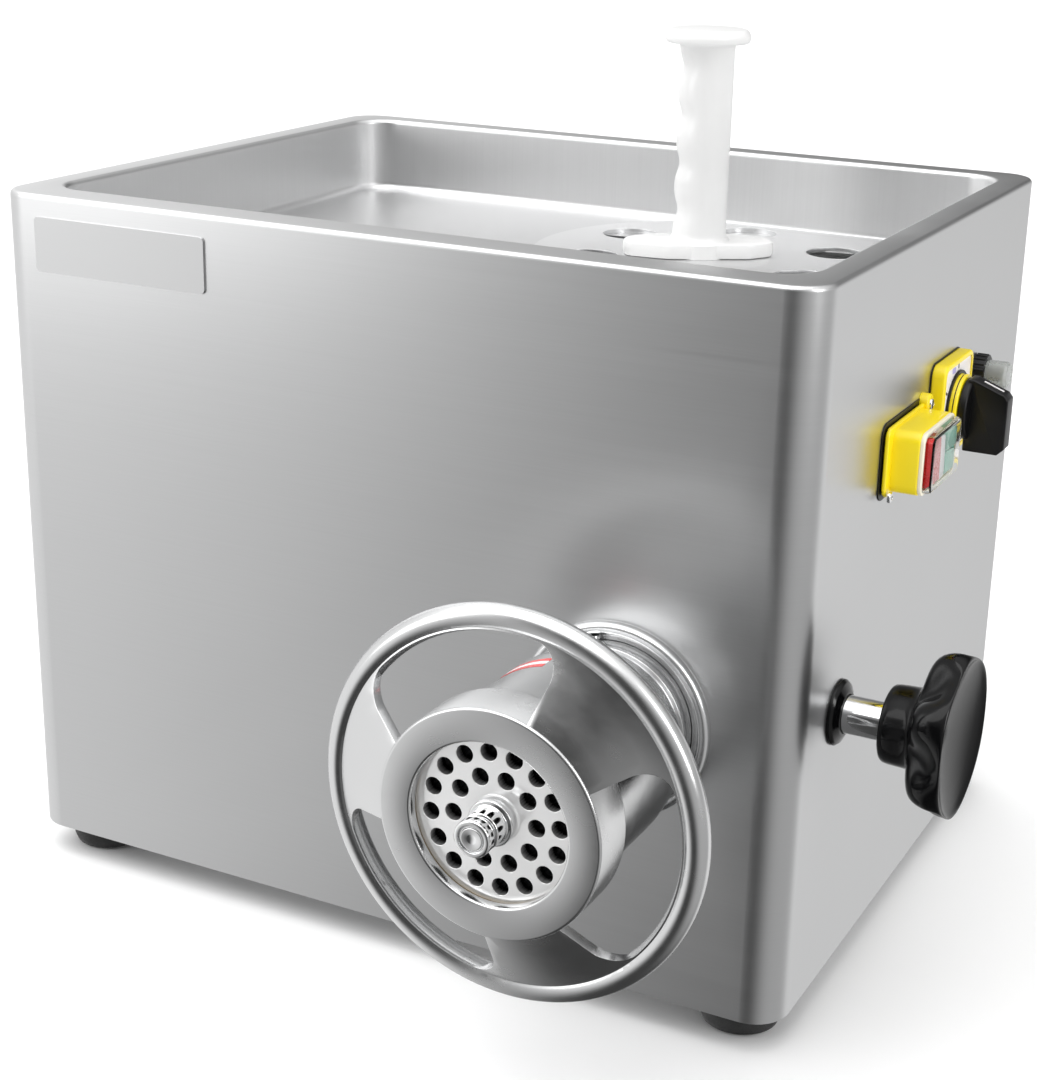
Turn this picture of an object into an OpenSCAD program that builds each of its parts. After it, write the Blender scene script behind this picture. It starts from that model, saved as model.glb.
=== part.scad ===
// Electric meat grinder with a removable No. 32 head, a feed tray and a stainless casing.
// The casing frame has X to the right, Y to the back and Z up. Its corner is at the front left,
// and in_frame() moves every piece from there to the part's own frame: the floor under the
// feet is Z = 0, and X = Y = 0 is the middle of the whole object's outline.

/* [Casing] */
// Width of the casing, side to side
casing_w = 525; // [515:1:540]
// Depth of the casing, front to back
casing_d = 420; // [415:1:440]
// Height of the casing above the feet
casing_h = 420; // [415:1:440]
// Radius of the casing's upright corners
corner_r = 22; // [15:1:30]
// Thickness of the sheet steel
sheet_t = 2; // [1.5:0.1:2.5]
// Height of the rubber feet
foot_h = 20; // [15:1:30]
// Radius of each rubber foot
foot_r = 24; // [18:1:26]

/* [Feed tray] */
// Depth of the tray below the rim
tray_depth = 52; // [45:1:60]
// Width of the flat rim at the sides
side_rim = 18; // [14:1:22]
// Width of the flat rim at the front
front_rim = 26; // [22:1:30]
// Radius of the round part of the feed guard
guard_r = 118; // [112:1:120]
// Radius of each hole in the feed guard
guard_hole_r = 19; // [14:1:21]

/* [Grinding head] */
// Distance of the head's axis from the left side of the casing
head_x = 421; // [415:1:425]
// Height of the head's axis above the casing's bottom edge
head_z = 168; // [165:1:175]
// Radius of the perforated plate
plate_r = 50; // [49.5:0.1:50.5]
// Radius of each hole in the perforated plate
plate_hole_r = 4.7; // [2:0.1:5]
// Outer radius of the ring nut
nut_r = 62; // [61:0.5:64]
// Outer radius of the handwheel
wheel_r = 107.5; // [105:0.5:112]
// Thread pitch of the ring nut
nut_pitch = 4; // [3:0.5:5]

/* [Clamp screw and pusher] */
// Distance of the clamp screw behind the casing's front
clamp_y = 70; // [65:1:75]
// Radius of the clamp knob over its lobes
knob_r = 48; // [42:1:50]
// Number of lobes on the clamp knob
knob_lobes = 6; // [5:1:8]
// Height of the pusher
pusher_h = 143; // [138:1:160]

/* [Drive] */
// Gear module of the first stage
module_a = 2; // [2]
// Gear module of the second stage
module_b = 2.5; // [2.5]

/* [Hidden] */
$fn = 96;
hull_fn = 32;
fit_gap = 0.05;
air_gap = 0.35;
face_gap = 0.1;

// Grinding head, measured forward from the casing's front face
sleeve_r = 46;
sleeve_bore = 42 + fit_gap;
sleeve_front = 12;
sleeve_flange_t = 8;
barrel_r = 42;
barrel_back = -212;
barrel_wall_back = -200;
barrel_bore = 34;
bell_start = 15;
bell_r = 55;
bell_end = 115;
thread_r = 56;
chamber_r = 46;
chamber_start = 78;
plate_t = 13;
plate_front = 141;
plate_back = plate_front - plate_t;
stud_r = 10;
stud_front = 165;
square_w = 24;
knife_back = 110;
knife_t = 16;
window_front = -112;
window_back = -182;
window_half = 31;
auger_core_r = 14;
auger_r = 32.5;
auger_head_r = 44;
auger_pitch = 52;
tang_back = -240;
tang_w = 22;
slip_ring_t = 2;
nut_back = 118;
nut_front = 149;
nut_opening_r = 44;
nut_edge = 1.5;
nut_turns = 4;
wheel_mid = 123;
rim_tube_r = 7;
web_t = 7;
wheel_webs = 3;
web_angle = 50;
window_sweep = 58;
window_corner = 14;
outer_holes = 16;
outer_ring_r = 36.3;
inner_holes = 10;
inner_ring_r = 23.3;
pin_angle = 105;

// Drive train: rotor pinion -> layshaft wheel, layshaft pinion -> output wheel
teeth_rotor = 14;
teeth_lay_wheel = 48;
teeth_lay_pinion = 17;
teeth_output = 44;
pressure_angle = 25;
backlash = 0.3;
lay_x = head_x - module_b * (teeth_output + teeth_lay_pinion) / 2;
rotor_x = lay_x - module_a * (teeth_rotor + teeth_lay_wheel) / 2;
box_front = -222;
cavity_front = -240;
cavity_back = -292;
box_back = -314;
box_r = 74;
box_rotor_r = 45;
bolt_inset = 7;
output_shaft_r = 24;
rear_journal_r = 18;
lay_shaft_r = 10;
rotor_shaft_r = 10;
motor_r = 62;
motor_front = -62;
motor_fins = 24;
rotor_core_r = 35;
rotor_front = -95;
rotor_back = -185;
bearing_t = 13;

// Feed throat and chute
throat_x = 350;
throat_y = 285;
throat_r = 103;
guard_ring_r = 82;
guard_holes = 6;
guard_t = 3;
guard_phase = 35;
pan_floor = casing_h - tray_depth;
pan_corner_r = 25;
guard_margin = 4;
throat_neck = 10;
chute_foot_z = head_z + sleeve_r + 4;
chute_foot_y = -(window_front + window_back) / 2;

// Pusher
pusher_x = throat_x - 8;
pusher_y = throat_y - 6;
pusher_turn = 30;
handle_r = 17.25;
pusher_foot_t = 10;
pusher_cap_t = 9;
pusher_cap_r = 27;
grips = 4;
grip_start = 29;
grip_pitch = 30;

// Right wall controls
switch_y = 150;
switch_z = 301;
switch_w = 76;
switch_h = 44;
flange_t = 4;
box_w = 60;
box_h = 37;
box_out = 20;
button_w = 24;
button_h = 28;
button_travel = 2.5;
cam_y = 230;
cam_z = 308;
cam_w = 60;
cam_plate_t = 9;
cam_ring_out = 14;
dial_r = 20;
breaker_y = 300;
breaker_z = 313;
breaker_nut_r = 11;

// Clamp screw
clamp_shaft_r = 11;
pad_r = 8;
clamp_collar_t = 6;
knob_hub_start = casing_w + 29;
knob_hub_end = casing_w + 48;
knob_face = casing_w + 72;
knob_hub_r = 23;
lobe_ring = 15;

// Back wall
cover_x = 28;
cover_w = 400;
cover_z = 28;
cover_h = 350;
cover_t = 1.5;
opening_margin = 16;
screw_hole_r = 2.2;
louvre_rows = 9;
louvre_w = 70;
louvre_h = 5;
gland_x = 470;
gland_z = 62;
gland_bore_r = 5;
gland_reach = 26;
gland_inside = 14;

foot_inset_x = 34;
foot_inset_y = 36;
feet_at = [
    [foot_inset_x, foot_inset_y],
    [casing_w - foot_inset_x, foot_inset_y],
    [foot_inset_x, casing_d - foot_inset_y],
    [casing_w - foot_inset_x, casing_d - foot_inset_y]
];

// Middle of the whole outline, from the stud to the gland and from the left wall to the knob
mid_x = knob_face / 2;
mid_y = (casing_d + gland_reach - stud_front) / 2;

steel = [0.78, 0.78, 0.79];
bright_steel = [0.86, 0.86, 0.88];
cast_steel = [0.6, 0.6, 0.62];
dark_iron = [0.32, 0.33, 0.35];
black_plastic = [0.05, 0.05, 0.05];
rubber_black = [0.08, 0.08, 0.08];
white_plastic = [0.95, 0.95, 0.94];
yellow_plastic = [0.98, 0.8, 0.05];
clear_plastic = [0.9, 0.95, 0.93, 0.35];
copper = [0.72, 0.42, 0.2];
bronze = [0.7, 0.5, 0.25];

// ---------------------------------------------------------------- frames

module in_frame() {
    translate([-mid_x, -mid_y, foot_h]) children();
}

// Local X is right, Y is up and Z points forward out of the casing
module on_axis(x, z) {
    translate([x, 0, z]) rotate([90, 0, 0]) children();
}

module on_head() {
    on_axis(head_x, head_z) children();
}

// Local X is to the back, Y is up and Z points out of the right wall
module on_right(y, z) {
    translate([casing_w, y, z]) rotate([90, 0, 90]) children();
}

// Local X is to the left, Y is up and Z points out of the back wall
module on_back(x, z) {
    translate([x, casing_d, z]) rotate([90, 0, 180]) children();
}

// ---------------------------------------------------------------- shared shapes

module rod(r, from, to) {
    translate([0, 0, min(from, to)]) cylinder(r = r, h = abs(to - from));
}

module tube(outer, inner, from, to) {
    difference() {
        rod(outer, from, to);
        rod(inner, min(from, to) - 1, max(from, to) + 1);
    }
}

module bar(half_x, half_y, from, to) {
    translate([-half_x, -half_y, from]) cube([2 * half_x, 2 * half_y, to - from]);
}

module rounded_rect(w, d, r) {
    translate([r, 0]) square([w - 2 * r, d]);
    translate([0, r]) square([w, d - 2 * r]);
    for (x = [r, w - r], y = [r, d - r]) translate([x, y]) circle(r = r);
}

module centred_rect(w, d, r) {
    translate([-w / 2, -d / 2]) rounded_rect(w, d, r);
}

module around(count, phase = 0) {
    for (i = [0 : count - 1]) rotate(phase + i * 360 / count) children();
}

// Involute gear outline: half the tooth's angle at a radius
function involute(a) = tan(a) * 180 / PI - a;
function half_tooth(r, teeth, m) =
    let (base = m * teeth / 2 * cos(pressure_angle), slack = backlash / (m * teeth) * 90 / PI)
    90 / teeth - slack + involute(pressure_angle) - involute(acos(base / max(r, base)));
function flank_radii(teeth, m) =
    let (root = m * teeth / 2 - 1.25 * m, tip = m * teeth / 2 + m, base = m * teeth / 2 * cos(pressure_angle))
    [root, for (k = [0 : 3]) max(base, root) + (tip - max(base, root)) * (k + 0.3) / 3.3];

module gear(teeth, m, bore, from, to, phase = 0) {
    radii = flank_radii(teeth, m);
    last = len(radii) - 1;
    translate([0, 0, from]) linear_extrude(to - from) difference() {
        polygon([
            for (i = [0 : teeth - 1], side = [-1, 1], k = [0 : last])
            let (r = radii[side < 0 ? k : last - k], a = phase + i * 360 / teeth + side * half_tooth(r, teeth, m))
            [r * cos(a), r * sin(a)]
        ]);
        if (bore > 0) circle(r = bore);
    }
}

// One helical flight round a core
module flight(radius, from, to, pitch, width) {
    translate([0, 0, from]) linear_extrude(
        height = to - from, twist = -360 * (to - from) / pitch, slices = ceil((to - from) / pitch * 24), $fn = 6
    ) polygon([
        [auger_core_r - 3, -width],
        [radius * cos(7), -radius * sin(7)],
        [radius, 0],
        [radius * cos(7), radius * sin(7)],
        [auger_core_r - 3, width]
    ]);
}

module bearing(inner, outer, from) {
    ring_t = (outer - inner) * 0.26;
    tube(outer - fit_gap, outer - ring_t, from, from + bearing_t);
    tube(inner + ring_t, inner + fit_gap, from, from + bearing_t);
    tube(outer - ring_t, inner + ring_t, from + 2, from + bearing_t - 2);
}

// ---------------------------------------------------------------- casing and tray

module casing_shell() {
    color(steel) in_frame() difference() {
        linear_extrude(casing_h) rounded_rect(casing_w, casing_d, corner_r);
        translate([sheet_t, sheet_t, -1])
            linear_extrude(casing_h + 1 - sheet_t)
            rounded_rect(casing_w - 2 * sheet_t, casing_d - 2 * sheet_t, corner_r - sheet_t);
        translate([0, 0, casing_h - sheet_t - 1]) linear_extrude(sheet_t + 2) tray_outline(0);
        on_head() rod(sleeve_r + air_gap, -sheet_t - 1, 1);
        on_right(clamp_y, head_z) rod(clamp_shaft_r + 1, -sheet_t - 1, 1);
        on_right(switch_y, switch_z) bar(box_w / 2, box_h / 2, -sheet_t - 1, 1);
        on_right(cam_y, cam_z) rod(dial_r, -sheet_t - 1, 1);
        on_right(breaker_y, breaker_z) rod(breaker_nut_r - 3, -sheet_t - 1, 1);
        on_back(gland_x, gland_z) rod(gland_bore_r + 5, -sheet_t - 1, 1);
        translate([cover_x + opening_margin, casing_d - sheet_t - 1, cover_z + opening_margin])
            cube([cover_w - 2 * opening_margin, sheet_t + 2, cover_h - 2 * opening_margin]);
        cover_screw_places() rod(screw_hole_r, -sheet_t - 1, 1);
    }
}

// Outline of the tray's mouth, grown inward by a wall
module tray_outline(inward) {
    translate([side_rim + inward, front_rim + inward])
        rounded_rect(
            casing_w - 2 * side_rim - 2 * inward,
            casing_d - side_rim - front_rim - 2 * inward,
            pan_corner_r - inward
        );
}

module tray_pan() {
    color(steel) in_frame() difference() {
        translate([0, 0, pan_floor - sheet_t])
            linear_extrude(tray_depth) tray_outline(0);
        translate([0, 0, pan_floor]) linear_extrude(tray_depth) tray_outline(sheet_t);
        translate([throat_x, throat_y, pan_floor - sheet_t - 1]) cylinder(r = throat_r, h = sheet_t + 2);
    }
}

module feed_guard() {
    color(steel) in_frame() translate([0, 0, pan_floor]) linear_extrude(guard_t) difference() {
        intersection() {
            tray_outline(sheet_t + guard_margin);
            union() {
                translate([throat_x, throat_y]) circle(r = guard_r);
                translate([throat_x, throat_y - guard_r]) square([casing_w - throat_x, 2 * guard_r]);
            }
        }
        translate([throat_x, throat_y]) around(guard_holes, guard_phase)
            translate([guard_ring_r, 0]) circle(r = guard_hole_r);
    }
}

// Round neck under the tray's throat and a slanted funnel down to the window of the head
module feed_chute() {
    top_z = pan_floor - sheet_t;
    color(steel) in_frame() {
        difference() {
            chute_body(throat_r + 2 * sheet_t, sheet_t, top_z, chute_foot_z);
            chute_body(throat_r, 0, top_z + 0.01, chute_foot_z - 0.01);
        }
        difference() {
            translate([head_x, chute_foot_y, head_z + window_half]) chute_duct(sheet_t, sleeve_r + 4 - window_half);
            translate([head_x, chute_foot_y, head_z]) chute_duct(0, sleeve_r + 5);
            on_head() rod(sleeve_r + fit_gap, window_back - 20, window_front + 20);
        }
    }
}

// Upright duct under the funnel, saddled on the sleeve
module chute_duct(grow, height) {
    linear_extrude(height)
        centred_rect(2 * window_half + 2 * grow, window_front - window_back + 2 * grow, 2 + grow);
}

module chute_body(top_r, grow, top_z, foot_z) {
    hull() {
        translate([throat_x, throat_y, top_z - throat_neck]) cylinder(r = top_r, h = throat_neck, $fn = 64);
        translate([head_x, chute_foot_y, foot_z]) linear_extrude(1)
            centred_rect(2 * window_half + 2 * grow, window_front - window_back + 2 * grow, 10 + grow, $fn = hull_fn);
    }
}

module base_plate() {
    color(steel) in_frame() difference() {
        translate([sheet_t + 0.5, sheet_t + 0.5, 0]) linear_extrude(sheet_t)
            rounded_rect(casing_w - 2 * sheet_t - 1, casing_d - 2 * sheet_t - 1, corner_r - sheet_t - 0.5);
        for (p = feet_at) translate([p[0], p[1], -1]) cylinder(r = 4.2, h = sheet_t + 2);
        translate([rotor_x, -motor_front + 60, -1]) around(8) translate([30, 0]) cylinder(r = 6, h = sheet_t + 2);
    }
}

module rear_cover() {
    pitch = (cover_h - 2 * opening_margin - 60) / louvre_rows;
    color(steel) in_frame() difference() {
        translate([cover_x, casing_d, cover_z]) rotate([90, 0, 0]) translate([0, 0, -cover_t])
            linear_extrude(cover_t) rounded_rect(cover_w, cover_h, 6);
        for (side = [1, 3], row = [0 : louvre_rows - 1])
            translate([cover_x + cover_w * side / 4 - louvre_w / 2, casing_d - 1, cover_z + 46 + row * pitch])
                cube([louvre_w, cover_t + 2, louvre_h]);
        cover_screw_places() rod(screw_hole_r, -1, cover_t + 1);
    }
}

module cover_screw_places() {
    for (x = [8, cover_w / 2, cover_w - 8], z = [8, cover_h / 2, cover_h - 8])
        if (x != cover_w / 2 || z != cover_h / 2)
            on_back(cover_x + x, cover_z + z) children();
}

module cover_screws() {
    color(bright_steel) in_frame() cover_screw_places() difference() {
        union() {
            rod(2.1, -1.5, cover_t);
            rod(4.5, cover_t, cover_t + 2.6);
        }
        rod(1.6, cover_t + 1.2, cover_t + 3, $fn = 6);
    }
}

module rubber_feet() {
    color(rubber_black) in_frame() for (p = feet_at) translate([p[0], p[1], 0]) difference() {
        rotate_extrude() polygon([
            [0, -foot_h],
            [foot_r - 5, -foot_h],
            [foot_r - 1.5, -foot_h + 2],
            [foot_r, -foot_h + 6],
            [foot_r - 2, 0],
            [0, 0]
        ]);
        translate([0, 0, -foot_h - 1]) cylinder(r = 9, h = 7);
        translate([0, 0, -foot_h]) cylinder(r = 4 + fit_gap, h = foot_h + 1);
    }
}

module foot_bolts() {
    color(bright_steel) in_frame() for (p = feet_at) translate([p[0], p[1], 0]) {
        translate([0, 0, -foot_h + 6]) cylinder(r = 4, h = foot_h + 4);
        translate([0, 0, -foot_h + 2.5]) cylinder(r = 7, h = 3.5, $fn = 6);
        translate([0, 0, sheet_t]) difference() {
            cylinder(r = 7.5, h = 6, $fn = 6);
            translate([0, 0, -1]) cylinder(r = 3.9, h = 8);
        }
    }
}

module name_plate() {
    plate_x = 30;
    plate_z = casing_h - 46;
    plate_w = 123;
    plate_h = 33;
    plate_thick = 1.2;
    color(bright_steel) in_frame() translate([plate_x, 0, plate_z]) rotate([90, 0, 0])
        linear_extrude(plate_thick) rounded_rect(plate_w, plate_h, 3);
}

// ---------------------------------------------------------------- head receiver

module head_collar() {
    bead_r = 3;
    outer = 57;
    color(bright_steel) in_frame() on_head() rotate_extrude() {
        translate([sleeve_r + air_gap, 0]) square([outer - bead_r - sleeve_r - air_gap, 1.8]);
        translate([outer - bead_r, bead_r]) circle(r = bead_r, $fn = 48);
    }
}

module receiver_sleeve() {
    color(steel) in_frame() difference() {
        on_head() {
            tube(sleeve_r, sleeve_bore, box_front, sleeve_front);
            tube(sleeve_r + 16, sleeve_bore, box_front, box_front + sleeve_flange_t);
        }
        on_head() translate([-window_half, 0, window_back])
            cube([2 * window_half, sleeve_r + 5, window_front - window_back]);
        on_right(clamp_y, head_z) rod(pad_r + 0.4, head_x - casing_w, 0);
        on_head() rotate(pin_angle) translate([0, 0, sleeve_front / 2]) rotate([0, 90, 0])
            cylinder(r = 2.2, h = sleeve_r + 5);
    }
}

module locating_pin() {
    color(bright_steel) in_frame() on_head() rotate(pin_angle) translate([0, 0, sleeve_front / 2])
        rotate([0, 90, 0]) {
            translate([0, 0, barrel_r - 1.8]) cylinder(r = 2.1, h = sleeve_r - barrel_r + 2.5);
            translate([0, 0, sleeve_r + 0.6]) cylinder(r = 4, h = 3.6);
        }
}

module head_barrel() {
    color(cast_steel) in_frame() on_head() difference() {
        rotate_extrude() polygon([
            [0, barrel_back],
            [barrel_r, barrel_back],
            [barrel_r, bell_start],
            [bell_r - 5, bell_start + 8],
            [bell_r - 1.5, bell_start + 20],
            [bell_r, bell_start + 34],
            [bell_r, bell_end],
            [thread_r, bell_end + 2],
            [thread_r, plate_front],
            [0, plate_front]
        ]);
        rod(barrel_bore, barrel_wall_back, chamber_start - 12);
        translate([0, 0, chamber_start - 12.01]) cylinder(r1 = barrel_bore, r2 = chamber_r, h = 12.02);
        rod(chamber_r, chamber_start, plate_back + 1);
        rod(plate_r + fit_gap, plate_back, plate_front + 1);
        rod(auger_core_r + 4, barrel_back - 1, barrel_wall_back + 1);
        translate([-window_half, 0, window_back])
            cube([2 * window_half, barrel_r + 5, window_front - window_back]);
        rotate(pin_angle) translate([barrel_r - 3, -2.6, barrel_back - 1])
            cube([5, 5.2, sleeve_front + 3 - barrel_back]);
        rotate(-90) translate([plate_r - 1, 0, plate_back]) cylinder(r = 3.05, h = plate_t + 1);
    }
}

module head_bush() {
    color(bronze) in_frame() on_head()
        tube(auger_core_r + 4 - fit_gap, auger_core_r + fit_gap, barrel_back, barrel_wall_back);
}

module cutting_plate() {
    color(bright_steel) in_frame() on_head() difference() {
        rod(plate_r, plate_back, plate_front);
        rod(stud_r + fit_gap, plate_back - 1, plate_front + 1);
        around(outer_holes, 6) translate([outer_ring_r, 0]) rod(plate_hole_r, plate_back - 1, plate_front + 1);
        around(inner_holes, 3) translate([inner_ring_r, 0]) rod(plate_hole_r, plate_back - 1, plate_front + 1);
        rotate(-90) translate([plate_r - 1, 0, plate_back - 1]) cylinder(r = 3.05, h = plate_t + 2);
    }
}

module plate_pin() {
    color(bright_steel) in_frame() on_head() rotate(-90) translate([plate_r - 1, 0, plate_back])
        cylinder(r = 3, h = plate_t - 1);
}

// ---------------------------------------------------------------- auger, knife, nut and wheel

module auger() {
    color(bright_steel) in_frame() on_head() difference() {
        union() {
            rod(auger_core_r, barrel_back - 1, knife_back - 1);
            bar(tang_w / 2, tang_w / 2, tang_back, barrel_back - 1);
            bar(square_w / 2, square_w / 2, knife_back - 1, knife_back + knife_t);
            flight(auger_r, barrel_wall_back + 1, chamber_start - 14, auger_pitch, 4.5);
            rotate(60) flight(auger_head_r, chamber_start + 1, knife_back - 3, auger_pitch * 2.4, 5);
            rotate(240) flight(auger_head_r, chamber_start + 1, knife_back - 3, auger_pitch * 2.4, 5);
        }
        rod(6 + fit_gap, knife_back - 14, knife_back + knife_t + 1);
    }
}

module auger_stud() {
    rib_t = 3;
    color(bright_steel) in_frame() on_head() difference() {
        union() {
            rod(6, knife_back - 12, knife_back + knife_t);
            rod(stud_r, knife_back + knife_t, stud_front);
            rod(stud_r + 2.5, plate_front + 2, plate_front + 2 + rib_t);
        }
        tube(stud_r + 1, stud_r - 2.5, stud_front - 9, stud_front - 6);
        tube(stud_r - 2.5, stud_r - 4, stud_front - 1, stud_front + 1);
    }
}

module knife() {
    blade_r = plate_r - 6;
    color(bright_steel) in_frame() on_head() translate([0, 0, knife_back]) difference() {
        union() {
            cylinder(r = 20, h = knife_t);
            around(4, 20) linear_extrude(knife_t) polygon([
                [10, -10],
                [blade_r - 2, -7],
                [blade_r, 1],
                [blade_r - 3, 3],
                [14, 6]
            ]);
        }
        translate([0, 0, -1]) bar(square_w / 2 + fit_gap, square_w / 2 + fit_gap, 0, knife_t + 2);
    }
}

module slip_ring() {
    color(bronze) in_frame() on_head()
        tube(thread_r - 1, nut_opening_r + 1, plate_front + face_gap, plate_front + slip_ring_t);
}

module ring_nut() {
    lip_back = plate_front + slip_ring_t + face_gap;
    color(steel) in_frame() on_head() rotate_extrude() polygon([
        [thread_r + fit_gap, nut_back],
        [nut_r - 2, nut_back],
        [nut_r, nut_back + 2],
        [nut_r, nut_front - nut_edge],
        [nut_r - nut_edge, nut_front],
        [nut_opening_r + 1, nut_front],
        [nut_opening_r, nut_front - 1],
        [nut_opening_r, lip_back],
        [thread_r + fit_gap, lip_back]
    ]);
}

// Rim tube and dished webs that rise from the rim to the nut's front face
module handwheel() {
    ring_r = wheel_r - rim_tube_r;
    hub_r = nut_r + fit_gap;
    window_out = ring_r - 5;
    color(steel) in_frame() on_head() {
        translate([0, 0, wheel_mid]) rotate_extrude() translate([ring_r, 0]) circle(r = rim_tube_r, $fn = 48);
        difference() {
            rotate_extrude() polygon([
                [hub_r, nut_front - nut_edge - web_t],
                [hub_r, nut_front - nut_edge],
                [ring_r, wheel_mid + web_t / 2],
                [ring_r, wheel_mid - web_t / 2]
            ]);
            translate([0, 0, nut_back]) linear_extrude(nut_front - nut_back)
                around(wheel_webs, web_angle + 180 / wheel_webs) wheel_window(hub_r - 1, window_out);
        }
    }
}

// Window between two webs, centred on the local X axis: its outer corners are round
module wheel_window(inner, outer) {
    mid = outer - window_corner;
    half = window_sweep / 2;
    side = asin(window_corner / mid);
    window_band(inner, mid * cos(side), half + side);
    window_band(inner, outer, half);
    for (a = [-half, half]) rotate(a) translate([mid, 0]) circle(r = window_corner);
}

module window_band(inner, outer, half) {
    reach = outer * 2;
    intersection() {
        difference() {
            circle(r = outer);
            circle(r = inner);
        }
        polygon([
            [0, 0],
            [reach * cos(half), -reach * sin(half)],
            [reach * 1.2, 0],
            [reach * cos(half), reach * sin(half)]
        ]);
    }
}

// ---------------------------------------------------------------- clamp screw

module clamp_bush() {
    inner_end = head_x + 20 - casing_w;
    color(steel) in_frame() difference() {
        on_right(clamp_y, head_z) rod(18, inner_end, -sheet_t);
        on_right(clamp_y, head_z) rod(clamp_shaft_r + fit_gap, inner_end - 1, 1);
        on_head() rod(sleeve_r + fit_gap, -clamp_y - 30, -clamp_y + 30);
    }
}

module clamp_collar() {
    color(black_plastic) in_frame() on_right(clamp_y, head_z) rotate_extrude() polygon([
        [clamp_shaft_r + 0.3, 0],
        [19, 0],
        [19, 1.6],
        [17.5, 3.6],
        [14.5, 5.2],
        [clamp_shaft_r + 0.3, clamp_collar_t]
    ]);
}

module clamp_pad() {
    tip = head_x + barrel_r + air_gap - casing_w;
    color(bronze) in_frame() on_right(clamp_y, head_z) rod(pad_r, tip, tip + 6.5);
}

module clamp_shaft() {
    tip = head_x + barrel_r + air_gap - casing_w + 6.6;
    color(bright_steel) in_frame() on_right(clamp_y, head_z) rod(clamp_shaft_r, tip, knob_hub_end - casing_w);
}

module clamp_knob() {
    back = knob_hub_end - casing_w;
    front = knob_face - casing_w;
    color(black_plastic) in_frame() on_right(clamp_y, head_z) difference() {
        union() {
            rod(knob_hub_r, knob_hub_start - casing_w, back + 1);
            rod(knob_r - 12, back, front - 1);
            around(knob_lobes, 90) translate([knob_r - lobe_ring, 0]) rod(lobe_ring, back + 2, front);
        }
        translate([0, 0, front - 6]) cylinder(r1 = 12, r2 = knob_r - 13, h = 6.01);
        rod(clamp_shaft_r + fit_gap, knob_hub_start - casing_w - 1, back + fit_gap);
        around(knob_lobes, 90 + 180 / knob_lobes) translate([knob_r + 5, 0]) rod(10, back - 1, front + 1);
    }
}

// ---------------------------------------------------------------- drive

module gearbox_outline(grow) {
    translate([head_x, 0]) circle(r = box_r + grow);
    translate([lay_x, 0]) circle(r = box_r + grow);
    translate([rotor_x, 0]) circle(r = box_rotor_r + grow);
    translate([rotor_x, -box_rotor_r - grow]) square([lay_x - rotor_x, 2 * (box_rotor_r + grow)]);
    translate([lay_x, -box_r - grow]) square([head_x - lay_x, 2 * (box_r + grow)]);
}

module gearbox_bolt_places() {
    for (x = [lay_x, head_x], side = [-1, 1]) translate([x, side * (box_r - bolt_inset)]) children();
    translate([head_x + box_r - bolt_inset, 0]) children();
    translate([rotor_x - box_rotor_r + bolt_inset, 0]) children();
}

// Bearing bores: [x, shaft radius, outer radius] of the front bearings
front_bearings = [
    [head_x, output_shaft_r, 40],
    [lay_x, lay_shaft_r, 22],
    [rotor_x, rotor_shaft_r, 22]
];
rear_bearings = [
    [head_x, rear_journal_r, 34],
    [lay_x, lay_shaft_r, 22]
];

module gearbox_housing() {
    foot_w = 150;
    color(dark_iron) in_frame() difference() {
        union() {
            on_axis(0, head_z) translate([0, 0, cavity_back]) linear_extrude(box_front - cavity_back)
                gearbox_outline(0);
            translate([(lay_x + head_x) / 2 - foot_w / 2, -box_front, sheet_t])
                cube([foot_w, cavity_front - cavity_back + 18, head_z - box_r + 20 - sheet_t]);
        }
        on_axis(0, head_z) translate([0, 0, cavity_back - 1]) linear_extrude(cavity_front - cavity_back + 1)
            gearbox_outline(-2 * bolt_inset);
        for (b = front_bearings) on_axis(b[0], head_z) {
            rod(b[2], cavity_front - 1, cavity_front + bearing_t);
        }
        on_head() rod(output_shaft_r + 8, cavity_front, box_front + 1);
        on_axis(rotor_x, head_z) rod(rotor_shaft_r + 1, cavity_front, box_front + 1);
        on_axis(0, head_z) translate([0, 0, cavity_back - 1]) gearbox_bolt_places() cylinder(r = 2.5, h = 16);
    }
}

module gearbox_cover() {
    color(dark_iron) in_frame() on_axis(0, head_z) difference() {
        translate([0, 0, box_back]) linear_extrude(cavity_back - box_back) gearbox_outline(0);
        for (b = rear_bearings) translate([b[0], 0]) rod(b[2], cavity_back - bearing_t - 1, cavity_back + 1);
        translate([0, 0, box_back - 1]) gearbox_bolt_places() cylinder(r = 3.2, h = 40);
    }
}

module gearbox_bolts() {
    color(bright_steel) in_frame() on_axis(0, head_z) gearbox_bolt_places() {
        rod(2.45, box_back, cavity_back + 13);
        difference() {
            rod(5, box_back - 5, box_back);
            rod(2.5, box_back - 6, box_back - 2.5, $fn = 6);
        }
    }
}

module shaft_bearings() {
    color(bright_steel) in_frame() {
        for (b = front_bearings) on_axis(b[0], head_z) bearing(b[1], b[2], cavity_front);
        for (b = rear_bearings) on_axis(b[0], head_z) bearing(b[1], b[2], cavity_back - bearing_t);
        on_axis(rotor_x, head_z) bearing(rotor_shaft_r, 22, motor_front - bearing_t - 2);
    }
}

module shaft_seal() {
    color(rubber_black) in_frame() on_head()
        tube(output_shaft_r + 8 - fit_gap, output_shaft_r + fit_gap, cavity_front + bearing_t, box_front + 2);
}

module output_shaft() {
    socket_half = tang_w / 2 + 0.2;
    color(bright_steel) in_frame() on_head() difference() {
        union() {
            rod(output_shaft_r, barrel_back - 4, cavity_back + 2);
            rod(rear_journal_r, cavity_back + 2, cavity_back - bearing_t);
        }
        bar(socket_half, socket_half, tang_back - 1, barrel_back);
    }
}

module output_gear() {
    color(cast_steel) in_frame() on_head()
        gear(teeth_output, module_b, output_shaft_r + fit_gap, cavity_back + 4, cavity_back + 26);
}

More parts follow.
